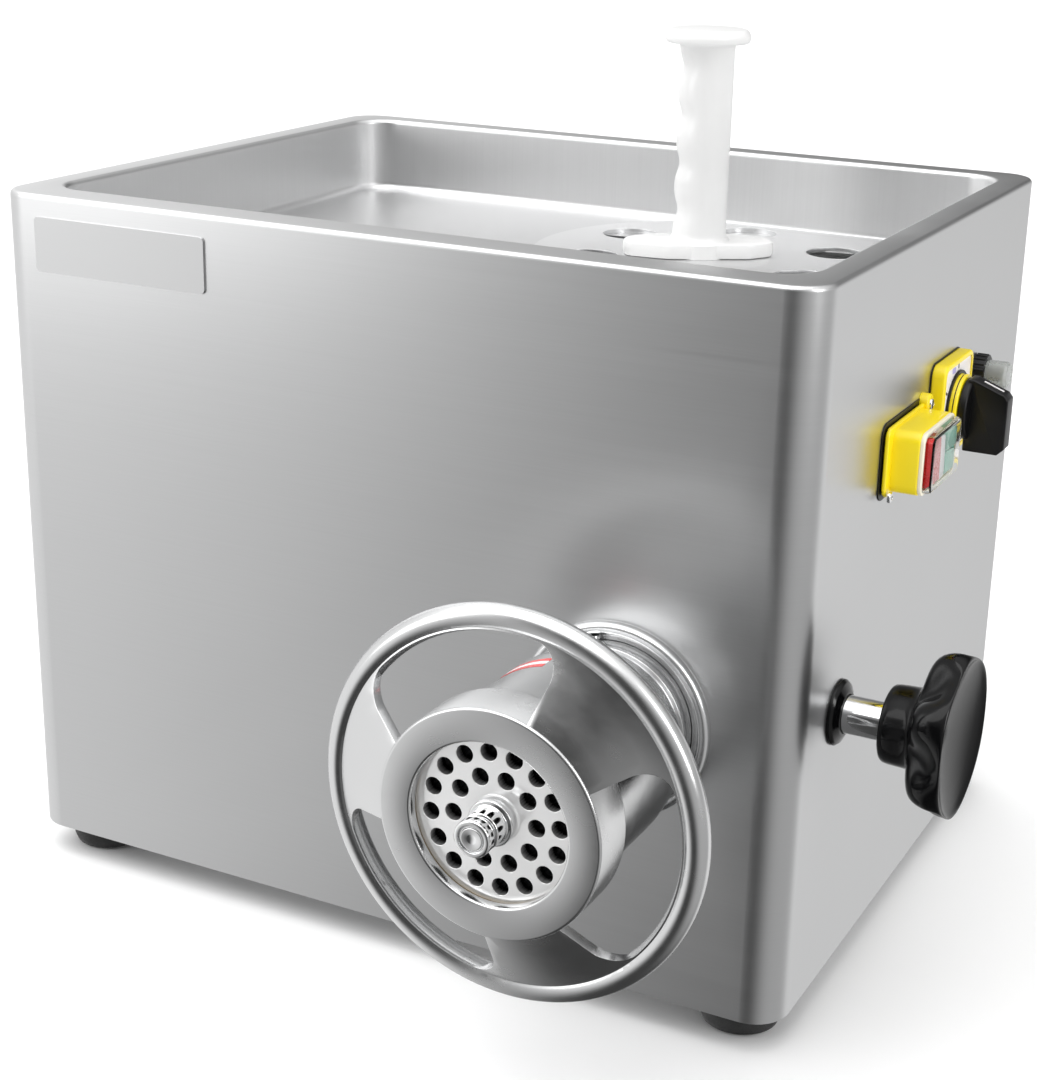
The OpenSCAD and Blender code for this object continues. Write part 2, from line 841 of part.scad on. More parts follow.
module layshaft() {
    color(cast_steel) in_frame() on_axis(lay_x, head_z) {
        rod(lay_shaft_r, cavity_front + bearing_t, cavity_back - bearing_t);
        gear(teeth_lay_pinion, module_b, 0, cavity_back + 3, cavity_back + 27, 180 / teeth_lay_pinion);
        gear(teeth_lay_wheel, module_a, 0, cavity_front - 20, cavity_front - 4);
    }
}

module rotor() {
    color(cast_steel) in_frame() on_axis(rotor_x, head_z) {
        rod(rotor_shaft_r, cavity_front - 21, motor_front + 18);
        rod(rotor_core_r, rotor_back, rotor_front);
        gear(teeth_rotor, module_a, 0, cavity_front - 21, cavity_front - 3, 180 / teeth_rotor);
    }
}

module cooling_fan() {
    color(black_plastic) in_frame() on_axis(rotor_x, head_z) difference() {
        union() {
            rod(16, motor_front + 4, motor_front + 16);
            rod(44, motor_front + 4, motor_front + 6);
            around(8) translate([12, -1, motor_front + 4]) cube([32, 2, 12]);
        }
        rod(rotor_shaft_r + fit_gap, motor_front, motor_front + 20);
    }
}

module motor_frame() {
    wall = 5;
    color(dark_iron) in_frame() on_axis(rotor_x, head_z) difference() {
        union() {
            rod(motor_r - 4, box_front, motor_front);
            around(motor_fins) translate([motor_r - 6, -1, box_front + 12]) cube([6, 2, motor_front - box_front - 24]);
        }
        rod(motor_r - 4 - wall, box_front - 1, motor_front - bearing_t - 4);
        rod(22, motor_front - bearing_t - 5, motor_front - 2);
        rod(rotor_shaft_r + 1, motor_front - 3, motor_front + 1);
    }
}

module stator() {
    color(copper) in_frame() on_axis(rotor_x, head_z) {
        tube(motor_r - 9 - fit_gap, rotor_core_r + 1, rotor_back, rotor_front);
        tube(motor_r - 13, rotor_core_r + 4, rotor_back - 14, rotor_back);
        tube(motor_r - 13, rotor_core_r + 4, rotor_front, rotor_front + 14);
    }
}

module fan_cowl() {
    cowl_front = motor_front + 28;
    color(dark_iron) in_frame() on_axis(rotor_x, head_z) difference() {
        rod(motor_r - 8, motor_front, cowl_front);
        rod(motor_r - 10, motor_front - 1, cowl_front - 2);
        around(12) translate([34, -2, cowl_front - 5]) cube([16, 4, 8]);
    }
}

module motor_bracket() {
    cradle_w = 110;
    color(dark_iron) in_frame() difference() {
        for (y = [-rotor_front, -rotor_back - 12]) translate([rotor_x - cradle_w / 2, y, sheet_t])
            cube([cradle_w, 12, head_z - motor_r + 20]);
        on_axis(rotor_x, head_z) rod(motor_r + 0.2, box_front - 1, motor_front + 1);
    }
}

// ---------------------------------------------------------------- electrics

module capacitor() {
    color(white_plastic) in_frame() translate([110, 360, sheet_t]) {
        cylinder(r = 21, h = 96);
        for (x = [-6, 6]) translate([x - 1, -3, 96]) cube([2, 6, 9]);
    }
}

module terminal_block() {
    block = [80, 22, 34];
    ways = 6;
    color(black_plastic) in_frame() translate([casing_w - 150, casing_d - 60, sheet_t]) difference() {
        cube(block);
        for (i = [0 : ways - 1]) translate([(i + 0.5) * block[0] / ways, block[1] / 2, block[2] - 8])
            cylinder(r = 3, h = 9);
    }
}

module cable_gland() {
    color(black_plastic) in_frame() on_back(gland_x, gland_z) difference() {
        union() {
            rod(9.9, -gland_inside, 1);
            rod(15, 0, 6, $fn = 6);
            rod(11, 5, 12);
            rod(13.5, 11, 20, $fn = 6);
            rotate_extrude() polygon([
                [0, 19],
                [11.5, 19],
                [10, gland_reach - 2],
                [8, gland_reach],
                [0, gland_reach]
            ]);
        }
        rod(gland_bore_r, -gland_inside - 1, gland_reach + 1);
    }
}

module gland_nut() {
    color(black_plastic) in_frame() on_back(gland_x, gland_z) difference() {
        rod(15, -sheet_t - 6, -sheet_t, $fn = 6);
        rod(9.9 + fit_gap, -sheet_t - 7, 0);
    }
}

module switch_housing() {
    color(yellow_plastic) in_frame() on_right(switch_y, switch_z) difference() {
        union() {
            linear_extrude(flange_t) centred_rect(switch_w, switch_h, 5);
            linear_extrude(box_out) centred_rect(box_w, box_h, 5);
            translate([0, 0, -34]) linear_extrude(35) centred_rect(box_w - 4, box_h - 4, 3);
            for (s = [-1, 1]) translate([s * (switch_w / 2 - 4), s * (switch_h / 2 - 3), 0])
                cylinder(r = 6, h = flange_t + 2);
        }
        for (s = [-1, 1]) translate([s * (button_w / 2 + 1), 0, box_out - 14])
            linear_extrude(16) centred_rect(button_w + 0.8, button_h + 0.8, 2.5);
    }
}

// Soft clear cover that the buttons are pressed through
module switch_boot() {
    boot_out = 27;
    color(clear_plastic) in_frame() on_right(switch_y, switch_z) difference() {
        translate([0, 0, box_out]) linear_extrude(boot_out - box_out) centred_rect(box_w - 2, box_h - 2, 5);
        translate([0, 0, box_out - 1]) linear_extrude(boot_out - box_out) centred_rect(box_w - 5, box_h - 5, 4);
    }
}

module start_button() {
    color([0.1, 0.55, 0.3]) in_frame() on_right(switch_y + button_w / 2 + 1, switch_z) push_button(4);
}

module stop_button() {
    color([0.8, 0.08, 0.06]) in_frame() on_right(switch_y - button_w / 2 - 1, switch_z) push_button(5);
}

module push_button(proud) {
    translate([0, 0, box_out - 14 + button_travel + 1.5])
        linear_extrude(14 - button_travel - 1.5 + proud) centred_rect(button_w, button_h, 2.5);
}

module cam_switch_body() {
    color(dark_iron) in_frame() on_right(cam_y, cam_z) {
        rod(dial_r - 4, -sheet_t - 1, 0);
        translate([0, 0, -52]) linear_extrude(50 - sheet_t + 1) centred_rect(48, 48, 5);
    }
}

module cam_switch_plate() {
    color(yellow_plastic) in_frame() on_right(cam_y, cam_z) difference() {
        union() {
            linear_extrude(cam_plate_t) centred_rect(cam_w, cam_w, 6);
            rod(dial_r, 1, cam_ring_out);
        }
        translate([0, 0, cam_plate_t - 1.5]) linear_extrude(3) difference() {
            centred_rect(cam_w - 6, cam_w - 6, 4);
            circle(r = dial_r);
        }
        rod(5.5, -1, cam_ring_out + 1);
    }
}

module cam_switch_legend() {
    color(white_plastic) in_frame() on_right(cam_y, cam_z) difference() {
        translate([0, 0, cam_plate_t - 1.4]) linear_extrude(1) centred_rect(cam_w - 6.4, cam_w - 6.4, 4);
        rod(dial_r + 0.4, cam_plate_t - 2, cam_plate_t + 1);
    }
}

module selector_handle() {
    disc_back = cam_ring_out + 0.4;
    disc_front = disc_back + 5;
    grip_out = 41;
    grip_t = 13;
    color(black_plastic) in_frame() on_right(cam_y, cam_z) {
        rod(5, 0.5, disc_back + 1);
        rod(dial_r - 1.5, disc_back, disc_front);
        translate([-grip_t / 2, 0, 0]) rotate([0, 90, 0]) linear_extrude(grip_t) polygon([
            [-disc_front + 1, -25],
            [-grip_out + 4, -25],
            [-grip_out, -21],
            [-grip_out, 9],
            [-grip_out + 2.5, 12],
            [-disc_front + 1, 18]
        ]);
    }
}

module breaker_body() {
    color(black_plastic) in_frame() on_right(breaker_y, breaker_z) difference() {
        union() {
            rod(breaker_nut_r - 3.2, -sheet_t, 6);
            translate([0, 0, -34]) linear_extrude(34 - sheet_t) centred_rect(18, 30, 2);
        }
        rod(3.4, -12, 7);
    }
}

module breaker_nut() {
    color(black_plastic) in_frame() on_right(breaker_y, breaker_z) difference() {
        union() {
            rod(breaker_nut_r, 0, 8);
            around(18) translate([breaker_nut_r, 0]) rod(0.8, 0.5, 7.5);
        }
        rod(breaker_nut_r - 3.2 + fit_gap, -1, 9);
    }
}

module breaker_boot() {
    color(clear_plastic) in_frame() on_right(breaker_y, breaker_z) difference() {
        union() {
            rod(8.5, 8, 20);
            translate([0, 0, 20]) cylinder(r1 = 8.5, r2 = 7, h = 2);
        }
        rod(7, 7, 20);
    }
}

module reset_button() {
    color(rubber_black) in_frame() on_right(breaker_y, breaker_z) {
        rod(3, -8, 9.5);
        rod(4.6, 9.5, 16.5);
    }
}

// ---------------------------------------------------------------- pusher

module pusher() {
    foot_half = 28;
    foot_round = 21;
    color(white_plastic) in_frame()
        translate([pusher_x, pusher_y, pan_floor + guard_t + face_gap]) rotate(pusher_turn) {
            linear_extrude(pusher_foot_t) {
                translate([-foot_half, -foot_round]) square([2 * foot_half, 2 * foot_round]);
                for (s = [-1, 1]) translate([s * foot_half, 0]) circle(r = foot_round);
            }
            difference() {
                cylinder(r = handle_r, h = pusher_h - 4);
                for (i = [0 : grips - 1]) translate([-handle_r - 12, 0, grip_start + i * grip_pitch])
                    rotate([90, 0, 0]) cylinder(r = 15, h = 2 * handle_r + 2, center = true);
            }
            translate([0, 0, pusher_h - pusher_cap_t]) rotate_extrude() {
                square([pusher_cap_r - pusher_cap_t / 2, pusher_cap_t]);
                intersection() {
                    translate([pusher_cap_r - pusher_cap_t / 2, pusher_cap_t / 2]) circle(r = pusher_cap_t / 2);
                    square([pusher_cap_r, pusher_cap_t]);
                }
            }
        }
}

casing_shell();
tray_pan();
feed_guard();
feed_chute();
base_plate();
rear_cover();
cover_screws();
rubber_feet();
foot_bolts();
head_collar();
locating_pin();
name_plate();
receiver_sleeve();
gearbox_housing();
gearbox_cover();
gearbox_bolts();
shaft_bearings();
shaft_seal();
motor_frame();
stator();
fan_cowl();
motor_bracket();
capacitor();
terminal_block();
cable_gland();
gland_nut();
switch_housing();
switch_boot();
cam_switch_body();
cam_switch_plate();
cam_switch_legend();
breaker_body();
breaker_nut();
breaker_boot();
clamp_bush();
clamp_collar();
head_barrel();
head_bush();
cutting_plate();
plate_pin();
auger();
auger_stud();
knife();
slip_ring();
ring_nut();
handwheel();
clamp_pad();
clamp_shaft();
clamp_knob();
output_shaft();
output_gear();
layshaft();
rotor();
cooling_fan();
pusher();
start_button();
stop_button();
selector_handle();
reset_button();
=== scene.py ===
"""Electric meat grinder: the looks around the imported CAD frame. Metres, +Z up, head towards -Y."""
from math import cos, pi, radians, sin, tan

import bmesh
import bpy
from mathutils import Matrix, Vector


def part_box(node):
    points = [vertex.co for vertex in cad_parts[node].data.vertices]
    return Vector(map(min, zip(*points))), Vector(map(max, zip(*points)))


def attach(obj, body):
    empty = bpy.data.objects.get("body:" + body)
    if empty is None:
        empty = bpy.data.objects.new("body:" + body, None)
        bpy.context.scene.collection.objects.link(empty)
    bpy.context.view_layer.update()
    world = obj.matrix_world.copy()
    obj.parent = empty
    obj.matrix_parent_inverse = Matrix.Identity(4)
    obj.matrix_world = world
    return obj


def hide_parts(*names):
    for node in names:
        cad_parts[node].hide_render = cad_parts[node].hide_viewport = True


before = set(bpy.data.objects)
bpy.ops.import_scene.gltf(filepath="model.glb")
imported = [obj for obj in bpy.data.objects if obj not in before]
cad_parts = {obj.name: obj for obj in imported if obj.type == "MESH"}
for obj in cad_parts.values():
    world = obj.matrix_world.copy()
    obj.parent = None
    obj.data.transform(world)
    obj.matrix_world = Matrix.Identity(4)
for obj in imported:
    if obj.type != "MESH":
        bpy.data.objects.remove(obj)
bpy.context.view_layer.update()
MM = 0.001


# ---------------------------------------------------------------- places taken from the frame

def middle(node):
    low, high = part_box(node)
    return (low + high) / 2


CASE_LOW, CASE_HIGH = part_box("casing_shell")
HEAD = middle("cutting_plate")
HEAD.y = CASE_LOW.y
PLATE_BACK = CASE_LOW.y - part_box("cutting_plate")[1].y
PLATE_FRONT = CASE_LOW.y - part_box("cutting_plate")[0].y
CLAMP = middle("clamp_shaft")
CLAMP.x = CASE_HIGH.x
FORWARD = Vector((0, -1, 0))


# ---------------------------------------------------------------- mesh helpers

def mesh_object(name, verts, faces, origin=Vector()):
    """A new object with its origin at a point in the frame; verts are relative to it."""
    mesh = bpy.data.meshes.new(name)
    mesh.from_pydata([tuple(v) for v in verts], [], faces)
    obj = bpy.data.objects.new(name, mesh)
    obj.location = origin
    bpy.context.scene.collection.objects.link(obj)
    tidy_normals(obj)
    return obj


def tidy_normals(obj):
    """Merges coinciding points, drops the slivers that leaves, and turns the faces outward."""
    bm = bmesh.new()
    bm.from_mesh(obj.data)
    bmesh.ops.remove_doubles(bm, verts=bm.verts, dist=1e-6)
    bmesh.ops.dissolve_degenerate(bm, edges=bm.edges, dist=1e-7)
    bmesh.ops.recalc_face_normals(bm, faces=bm.faces)
    bm.to_mesh(obj.data)
    bm.free()


def smooth(obj, angle=35):
    """Smooth shading that keeps edges sharper than the angle."""
    bm = bmesh.new()
    bm.from_mesh(obj.data)
    limit = radians(angle)
    for face in bm.faces:
        face.smooth = True
    for edge in bm.edges:
        edge.smooth = len(edge.link_faces) != 2 or edge.calc_face_angle(0) < limit
    bm.to_mesh(obj.data)
    bm.free()
    return obj


def filleted(corners, steps=6, closed=True):
    """A 2-D outline from (a, b, fillet radius) corners, with each fillet drawn as an arc."""
    out = []
    count = len(corners)
    for i, (a, b, radius) in enumerate(corners):
        here = Vector((a, b))
        ends = not closed and i in (0, count - 1)
        if radius <= 0 or ends:
            out.append(here)
            continue
        before = Vector(corners[i - 1][:2]) - here
        after = Vector(corners[(i + 1) % count][:2]) - here
        angle = before.angle(after, pi)
        if angle > pi - 0.02:
            out.append(here)
            continue
        reach = min(radius / tan(angle / 2), before.length * 0.49, after.length * 0.49)
        radius = reach * tan(angle / 2)
        centre = here + (before.normalized() + after.normalized()).normalized() * radius / sin(angle / 2)
        first = here + before.normalized() * reach - centre
        last = here + after.normalized() * reach - centre
        sweep = first.angle_signed(last)
        for k in range(steps + 1):
            turn = -sweep * k / steps
            out.append(centre + Vector((
                first.x * cos(turn) - first.y * sin(turn),
                first.x * sin(turn) + first.y * cos(turn),
            )))
    return out


def skin(name, rings, origin=Vector(), close_rings=True, cap_start=False, cap_end=False):
    """Faces between rings of equally many points. close_rings joins the last ring to the first."""
    size = len(rings[0])
    verts = [v for ring in rings for v in ring]
    faces = []
    pairs = len(rings) if close_rings else len(rings) - 1
    for i in range(pairs):
        j = (i + 1) % len(rings)
        for k in range(size):
            m = (k + 1) % size
            faces.append((i * size + k, i * size + m, j * size + m, j * size + k))
    if cap_start:
        faces.append(tuple(range(size)))
    if cap_end:
        faces.append(tuple((len(rings) - 1) * size + k for k in range(size)))
    return mesh_object(name, verts, faces, origin)


def lathe(name, corners, origin, facing, steps=6, segments=96, angle=35):
    """A closed outline of (radius, distance along facing, fillet) turned about an axis, in mm."""
    outline = filleted([(r * MM, w * MM, f * MM) for r, w, f in corners], steps)
    axis = Vector(facing).normalized()
    side = Vector((0, 0, 1)) if abs(axis.z) < 0.5 else Vector((1, 0, 0))
    other = axis.cross(side)
    rings = [[
        axis * p.y + (side * cos(2 * pi * k / segments) + other * sin(2 * pi * k / segments)) * p.x
        for k in range(segments)
    ] for p in outline]
    obj = skin(name, rings, origin)
    return smooth(obj, angle)


def rect_ring(low, high, radius, z, steps=10):
    """Points round a rounded rectangle, anticlockwise from its front-right corner."""
    corners = (
        (high[0] - radius, low[1] + radius, -90),
        (high[0] - radius, high[1] - radius, 0),
        (low[0] + radius, high[1] - radius, 90),
        (low[0] + radius, low[1] + radius, 180),
    )
    ring = []
    for x, y, start in corners:
        for k in range(steps + 1):
            a = radians(start + 90 * k / steps)
            ring.append(Vector((x + radius * cos(a), y + radius * sin(a), z)))
    return ring


def prism(name, corners, depth, origin, right, up, out, bevel=0.6, steps=5, segments=3):
    """An outline of (a, b, fillet) in mm along right and up, extruded along out, edges rounded."""
    outline = filleted([(a * MM, b * MM, f * MM) for a, b, f in corners], steps)
    right, up, out = Vector(right), Vector(up), Vector(out)
    verts = [right * p.x + up * p.y + out * d * MM for d in (0, depth) for p in outline]
    size = len(outline)
    faces = [tuple(range(size)), tuple(range(size, 2 * size))]
    faces += [(k, (k + 1) % size, size + (k + 1) % size, size + k) for k in range(size)]
    obj = mesh_object(name, verts, faces, origin)
    if bevel:
        round_edges(obj, bevel, segments)
    return smooth(obj, 40)


def box_corners(width, height, fillet):
    w, h = width / 2, height / 2
    return [(-w, -h, fillet), (w, -h, fillet), (w, h, fillet), (-w, h, fillet)]


def round_edges(obj, width, segments=3, angle=40):
    modifier = obj.modifiers.new("edges", "BEVEL")
    modifier.width = width * MM
    modifier.segments = segments
    modifier.limit_method = "ANGLE"
    modifier.angle_limit = radians(angle)
    apply_modifiers(obj)


def apply_modifiers(obj):
    bpy.context.view_layer.update()
    depsgraph = bpy.context.evaluated_depsgraph_get()
    mesh = bpy.data.meshes.new_from_object(obj.evaluated_get(depsgraph))
    obj.modifiers.clear()
    old = obj.data
    obj.data = mesh
    mesh.name = old.name
    bpy.data.meshes.remove(old)


def boolean(obj, cutter):
    """Cuts with another object, which is used up."""
    modifier = obj.modifiers.new("cut", "BOOLEAN")
    modifier.operation = "DIFFERENCE"
    modifier.solver = "EXACT"
    modifier.object = cutter
    apply_modifiers(obj)
    mesh = cutter.data
    bpy.data.objects.remove(cutter)
    bpy.data.meshes.remove(mesh)
    return obj


def join(name, parts):
    """One object from several, with its origin at the first one's."""
    bpy.context.view_layer.update()
    bm = bmesh.new()
    base = parts[0].matrix_world.inverted()
    for part in parts:
        copy = part.data.copy()
        copy.transform(base @ part.matrix_world)
        bm.from_mesh(copy)
        bpy.data.meshes.remove(copy)
    bm.to_mesh(parts[0].data)
    bm.free()
    for part in parts[1:]:
        mesh = part.data
        bpy.data.objects.remove(part)
        bpy.data.meshes.remove(mesh)
    parts[0].name = name
    return parts[0]


def cad_copy(name, node, origin):
    """A new object with a CAD node's shape, with its origin at a point in the frame."""
    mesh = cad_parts[node].data.copy()
    mesh.transform(Matrix.Translation(-Vector(origin)))
    mesh.materials.clear()
    obj = bpy.data.objects.new(name, mesh)
    obj.location = origin
    bpy.context.scene.collection.objects.link(obj)
    return obj


def soften(width, names, segments=3):
    """Rounds the sharp edges of CAD nodes with a modifier; their meshes stay as they are."""
    for node in names.split():
        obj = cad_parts[node]
        weld = obj.modifiers.new("weld", "WELD")
        weld.merge_threshold = 1e-5
        modifier = obj.modifiers.new("edges", "BEVEL")
        modifier.width = width * MM
        modifier.segments = segments
        modifier.limit_method = "ANGLE"
        modifier.angle_limit = radians(40)
        modifier.harden_normals = True


# ---------------------------------------------------------------- materials

def wire(tree, kind, where=None, **values):
    """Adds a shader node and sets or links its inputs; a tuple (node, output) is a link."""
    node = tree.nodes.new(kind)
    for key, value in (where or {}).items():
        setattr(node, key, value)
    for key, value in values.items():
        by_number = key[0] == "i" and key[1:].isdigit()
        socket = node.inputs[int(key[1:]) if by_number else key.replace("_", " ")]
        if isinstance(value, bpy.types.NodeSocket):
            tree.links.new(value, socket)
        else:
            socket.default_value = value
    return node


def principled(name, **sockets):
    """A material with one Principled shader; returns it, its tree and the shader."""
    material = bpy.data.materials.new(name)
    material.use_nodes = True
    tree = material.node_tree
    shader = tree.nodes["Principled BSDF"]
    for key, value in sockets.items():
        shader.inputs[key.replace("_", " ")].default_value = value
    return material, tree, shader


def object_noise(tree, stretch, scale=1.0, detail=3.0, roughness=0.5):
    """Noise over the object's own coordinates, stretched so that it forms streaks."""
    place = wire(tree, "ShaderNodeTexCoord")
    mapping = wire(tree, "ShaderNodeMapping", Vector=place.outputs["Object"], Scale=stretch)
    noise = wire(
        tree, "ShaderNodeTexNoise", Vector=mapping.outputs["Vector"],
        Scale=scale, Detail=detail, Roughness=roughness,
    )
    return noise.outputs["Fac"]


def spread(tree, value, low, high, source=(0.3, 0.7), kind="LINEAR"):
    """Maps a factor to a range of values."""
    node = wire(
        tree, "ShaderNodeMapRange", {"interpolation_type": kind}, Value=value,
        From_Min=source[0], From_Max=source[1], To_Min=low, To_Max=high,
    )
    return node.outputs["Result"]


def add(tree, first, second, operation="ADD"):
    node = tree.nodes.new("ShaderNodeMath")
    node.operation = operation
    for socket, value in zip(node.inputs, (first, second)):
        if isinstance(value, bpy.types.NodeSocket):
            tree.links.new(value, socket)
        else:
            socket.default_value = value
    return node.outputs[0]


def tinted(tree, factor, hole_shade, light):
    """Blends two colours by a factor."""
    mix = tree.nodes.new("ShaderNodeMix")
    mix.data_type = "RGBA"
    tree.links.new(factor, mix.inputs["Factor"])
    mix.inputs["A"].default_value = (*hole_shade, 1)
    mix.inputs["B"].default_value = (*light, 1)
    return mix.outputs["Result"]


def shade(colour, factor):
    return tuple(min(1.0, c * factor) for c in colour)


def bump(tree, shader, height, strength, distance):
    node = wire(tree, "ShaderNodeBump", Height=height, Strength=strength, Distance=distance)
    tree.links.new(node.outputs["Normal"], shader.inputs["Normal"])


def edge_wear_and_highlight(tree):
    """Where the surface turns outward sharply: edges paled partly by rubbed wear and partly as a painted
    highlight, so that they catch the light.
    """
    geometry = wire(tree, "ShaderNodeNewGeometry")
    return spread(tree, geometry.outputs["Pointiness"], 0, 1, (0.52, 0.6))


def brushed_sheet(name, colour, roughness, stretch, aniso=0.3, tangent="Z", grain_depth=0.05):
    """Sheet steel ground in one direction: hair-fine lines, faint streaks and smudges."""
    material, tree, shader = principled(name, Metallic=1.0, Anisotropic=aniso)
    fine = object_noise(tree, stretch, 1.0, 3.0, 0.6)
    streak = object_noise(tree, tuple(s * 0.13 for s in stretch), 1.0, 2.0)
    smudge = object_noise(tree, (5, 5, 5), 1.0, 4.0, 0.55)
    grain = add(tree, add(tree, fine, 0.8, "MULTIPLY"), add(tree, streak, 0.2, "MULTIPLY"))
    tree.links.new(tinted(tree, spread(tree, grain, 0, 1), shade(colour, 0.975), shade(colour, 1.012)),
                   shader.inputs["Base Color"])
    rough = add(tree, spread(tree, grain, roughness - 0.02, roughness + 0.025),
                spread(tree, smudge, -0.012, 0.018))
    tree.links.new(rough, shader.inputs["Roughness"])
    around = wire(tree, "ShaderNodeTangent", {"direction_type": "RADIAL", "axis": tangent})
    tree.links.new(around.outputs["Tangent"], shader.inputs["Tangent"])
    bump(tree, shader, grain, grain_depth, 0.0001)
    return material


def turned_steel(name, colour, roughness, axis="Y", lines=900.0, aniso=0.35, depth=0.1):
    """Steel finished on a lathe: hair-fine rings round the object's own axis, with soft smudges."""
    material, tree, shader = principled(name, Metallic=1.0, Anisotropic=aniso)
    place = wire(tree, "ShaderNodeTexCoord")
    split = wire(tree, "ShaderNodeSeparateXYZ", Vector=place.outputs["Object"])
    along = split.outputs[axis]
    flat = [split.outputs[k] for k in "XYZ" if k != axis]
    squares = [add(tree, part, part, "MULTIPLY") for part in flat]
    radius = add(tree, add(tree, *squares), 0.5, "POWER")
    ring = wire(tree, "ShaderNodeCombineXYZ", X=add(tree, radius, lines, "MULTIPLY"),
                Y=add(tree, along, lines, "MULTIPLY"))
    fine = wire(tree, "ShaderNodeTexNoise", Vector=ring.outputs[0], Scale=1.0, Detail=3.0).outputs["Fac"]
    smudge = object_noise(tree, (22, 22, 22), 1.0, 4.0, 0.6)
    tree.links.new(tinted(tree, spread(tree, fine, 0, 1), shade(colour, 0.95), shade(colour, 1.02)),
                   shader.inputs["Base Color"])
    rough = add(tree, spread(tree, fine, roughness - 0.02, roughness + 0.03),
                spread(tree, smudge, -0.02, 0.04))
    tree.links.new(rough, shader.inputs["Roughness"])
    around = wire(tree, "ShaderNodeTangent", {"direction_type": "RADIAL", "axis": axis})
    tree.links.new(around.outputs["Tangent"], shader.inputs["Tangent"])
    bump(tree, shader, fine, depth, 0.00005)
    return material


def polished_steel(name, colour, roughness=0.1, ripple=0.05):
    """Buffed steel or chrome: nearly a mirror, with faint wipe marks and a slight unevenness."""
    material, tree, shader = principled(name, Metallic=1.0)
    wipe = object_noise(tree, (30, 90, 60), 1.0, 5.0, 0.65)
    cloud = object_noise(tree, (18, 18, 18), 1.0, 3.0)
    tree.links.new(tinted(tree, cloud, shade(colour, 0.95), colour), shader.inputs["Base Color"])
    rough = add(tree, spread(tree, wipe, roughness - 0.03, roughness + 0.05),
                spread(tree, cloud, -0.01, 0.03))
    tree.links.new(rough, shader.inputs["Roughness"])
    bump(tree, shader, cloud, ripple, 0.0008)
    return material


def drilled_plate(name, colour, roughness, hole_shade):
    """Polished plate, bright on its faces and rims, with the walls across it (the drilled holes' walls above
    all) darkened: painted shade in the holes, with some oil staining.
    """
    material, tree, shader = principled(name, Metallic=0.6)
    place = wire(tree, "ShaderNodeTexCoord")
    facing = wire(tree, "ShaderNodeSeparateXYZ", Vector=place.outputs["Normal"]).outputs["Y"]
    cloud = object_noise(tree, (18, 18, 18), 1.0, 3.0)
    # Painted shade: faces along the plate's axis stay bright, walls across it go near black.
    shown = spread(tree, add(tree, facing, 0.0, "ABSOLUTE"), hole_shade, colour, (0.02, 0.3))
    tone = add(tree, shown, spread(tree, cloud, 0.96, 1.0), "MULTIPLY")
    grey = wire(tree, "ShaderNodeCombineColor", Red=tone, Green=tone, Blue=tone)
    tree.links.new(grey.outputs["Color"], shader.inputs["Base Color"])
    tree.links.new(spread(tree, cloud, roughness, roughness + 0.04), shader.inputs["Roughness"])
    return material


def moulded_plastic(name, colour, roughness, coat=0.0, peel=0.03, grain=700.0, scuff_and_highlight=0.12, gloss=0.5):
    """Moulded plastic: slight orange peel, cloudy gloss, and paler edges that are partly rubbed wear and
    partly a painted highlight.
    """
    material, tree, shader = principled(name, Coat_Weight=coat, Coat_Roughness=0.06, Specular_IOR_Level=gloss)
    cloud = object_noise(tree, (25, 25, 25), 1.0, 4.0)
    skin_grain = object_noise(tree, (grain, grain, grain), 1.0, 2.0)
    base = tinted(tree, cloud, shade(colour, 0.95), shade(colour, 1.03))
    # Edges paled towards white: rubbed wear, and also a painted highlight.
    worn_and_lit_edge = tree.nodes.new("ShaderNodeMix")
    worn_and_lit_edge.data_type = "RGBA"
    tree.links.new(add(tree, edge_wear_and_highlight(tree), scuff_and_highlight, "MULTIPLY"), worn_and_lit_edge.inputs["Factor"])
    tree.links.new(base, worn_and_lit_edge.inputs["A"])
    worn_and_lit_edge.inputs["B"].default_value = (*[c + (1 - c) * 0.45 for c in colour], 1)
    tree.links.new(worn_and_lit_edge.outputs["Result"], shader.inputs["Base Color"])
    rough = add(tree, spread(tree, cloud, roughness - 0.03, roughness + 0.05),
                spread(tree, skin_grain, -0.01, 0.02))
    tree.links.new(rough, shader.inputs["Roughness"])
    bump(tree, shader, skin_grain, peel, 0.0003)
    return material


def matt_rubber(name, colour):
    material, tree, shader = principled(name)
    dust = object_noise(tree, (60, 60, 60), 1.0, 5.0, 0.65)
    pores = object_noise(tree, (900, 900, 900), 1.0, 2.0)
    tree.links.new(tinted(tree, dust, colour, [c + 0.035 for c in colour]), shader.inputs["Base Color"])
    tree.links.new(spread(tree, pores, 0.55, 0.75), shader.inputs["Roughness"])
    bump(tree, shader, pores, 0.15, 0.0004)
    return material


def clear_plastic(name, tint, roughness=0.12, clear=0.92, ior=1.3):
    """Soft see-through plastic, a little cloudy."""
    material, tree, shader = principled(name, Transmission_Weight=clear, IOR=ior)
    cloud = object_noise(tree, (60, 60, 60), 1.0, 4.0)
    tree.links.new(tinted(tree, cloud, shade(tint, 0.96), tint), shader.inputs["Base Color"])
    tree.links.new(spread(tree, cloud, roughness, roughness * 1.6), shader.inputs["Roughness"])
    bump(tree, shader, cloud, 0.04, 0.0006)
    return material


def machine_paint(name, colour):
    """Grey enamel on iron castings."""
    material, tree, shader = principled(name, Metallic=0.0)
    peel = object_noise(tree, (260, 260, 260), 1.0, 3.0)
    dust = object_noise(tree, (14, 14, 14), 1.0, 5.0, 0.6)
    tree.links.new(tinted(tree, dust, shade(colour, 0.8), shade(colour, 1.15)), shader.inputs["Base Color"])
    tree.links.new(spread(tree, dust, 0.35, 0.55), shader.inputs["Roughness"])
    bump(tree, shader, peel, 0.2, 0.0005)
    return material


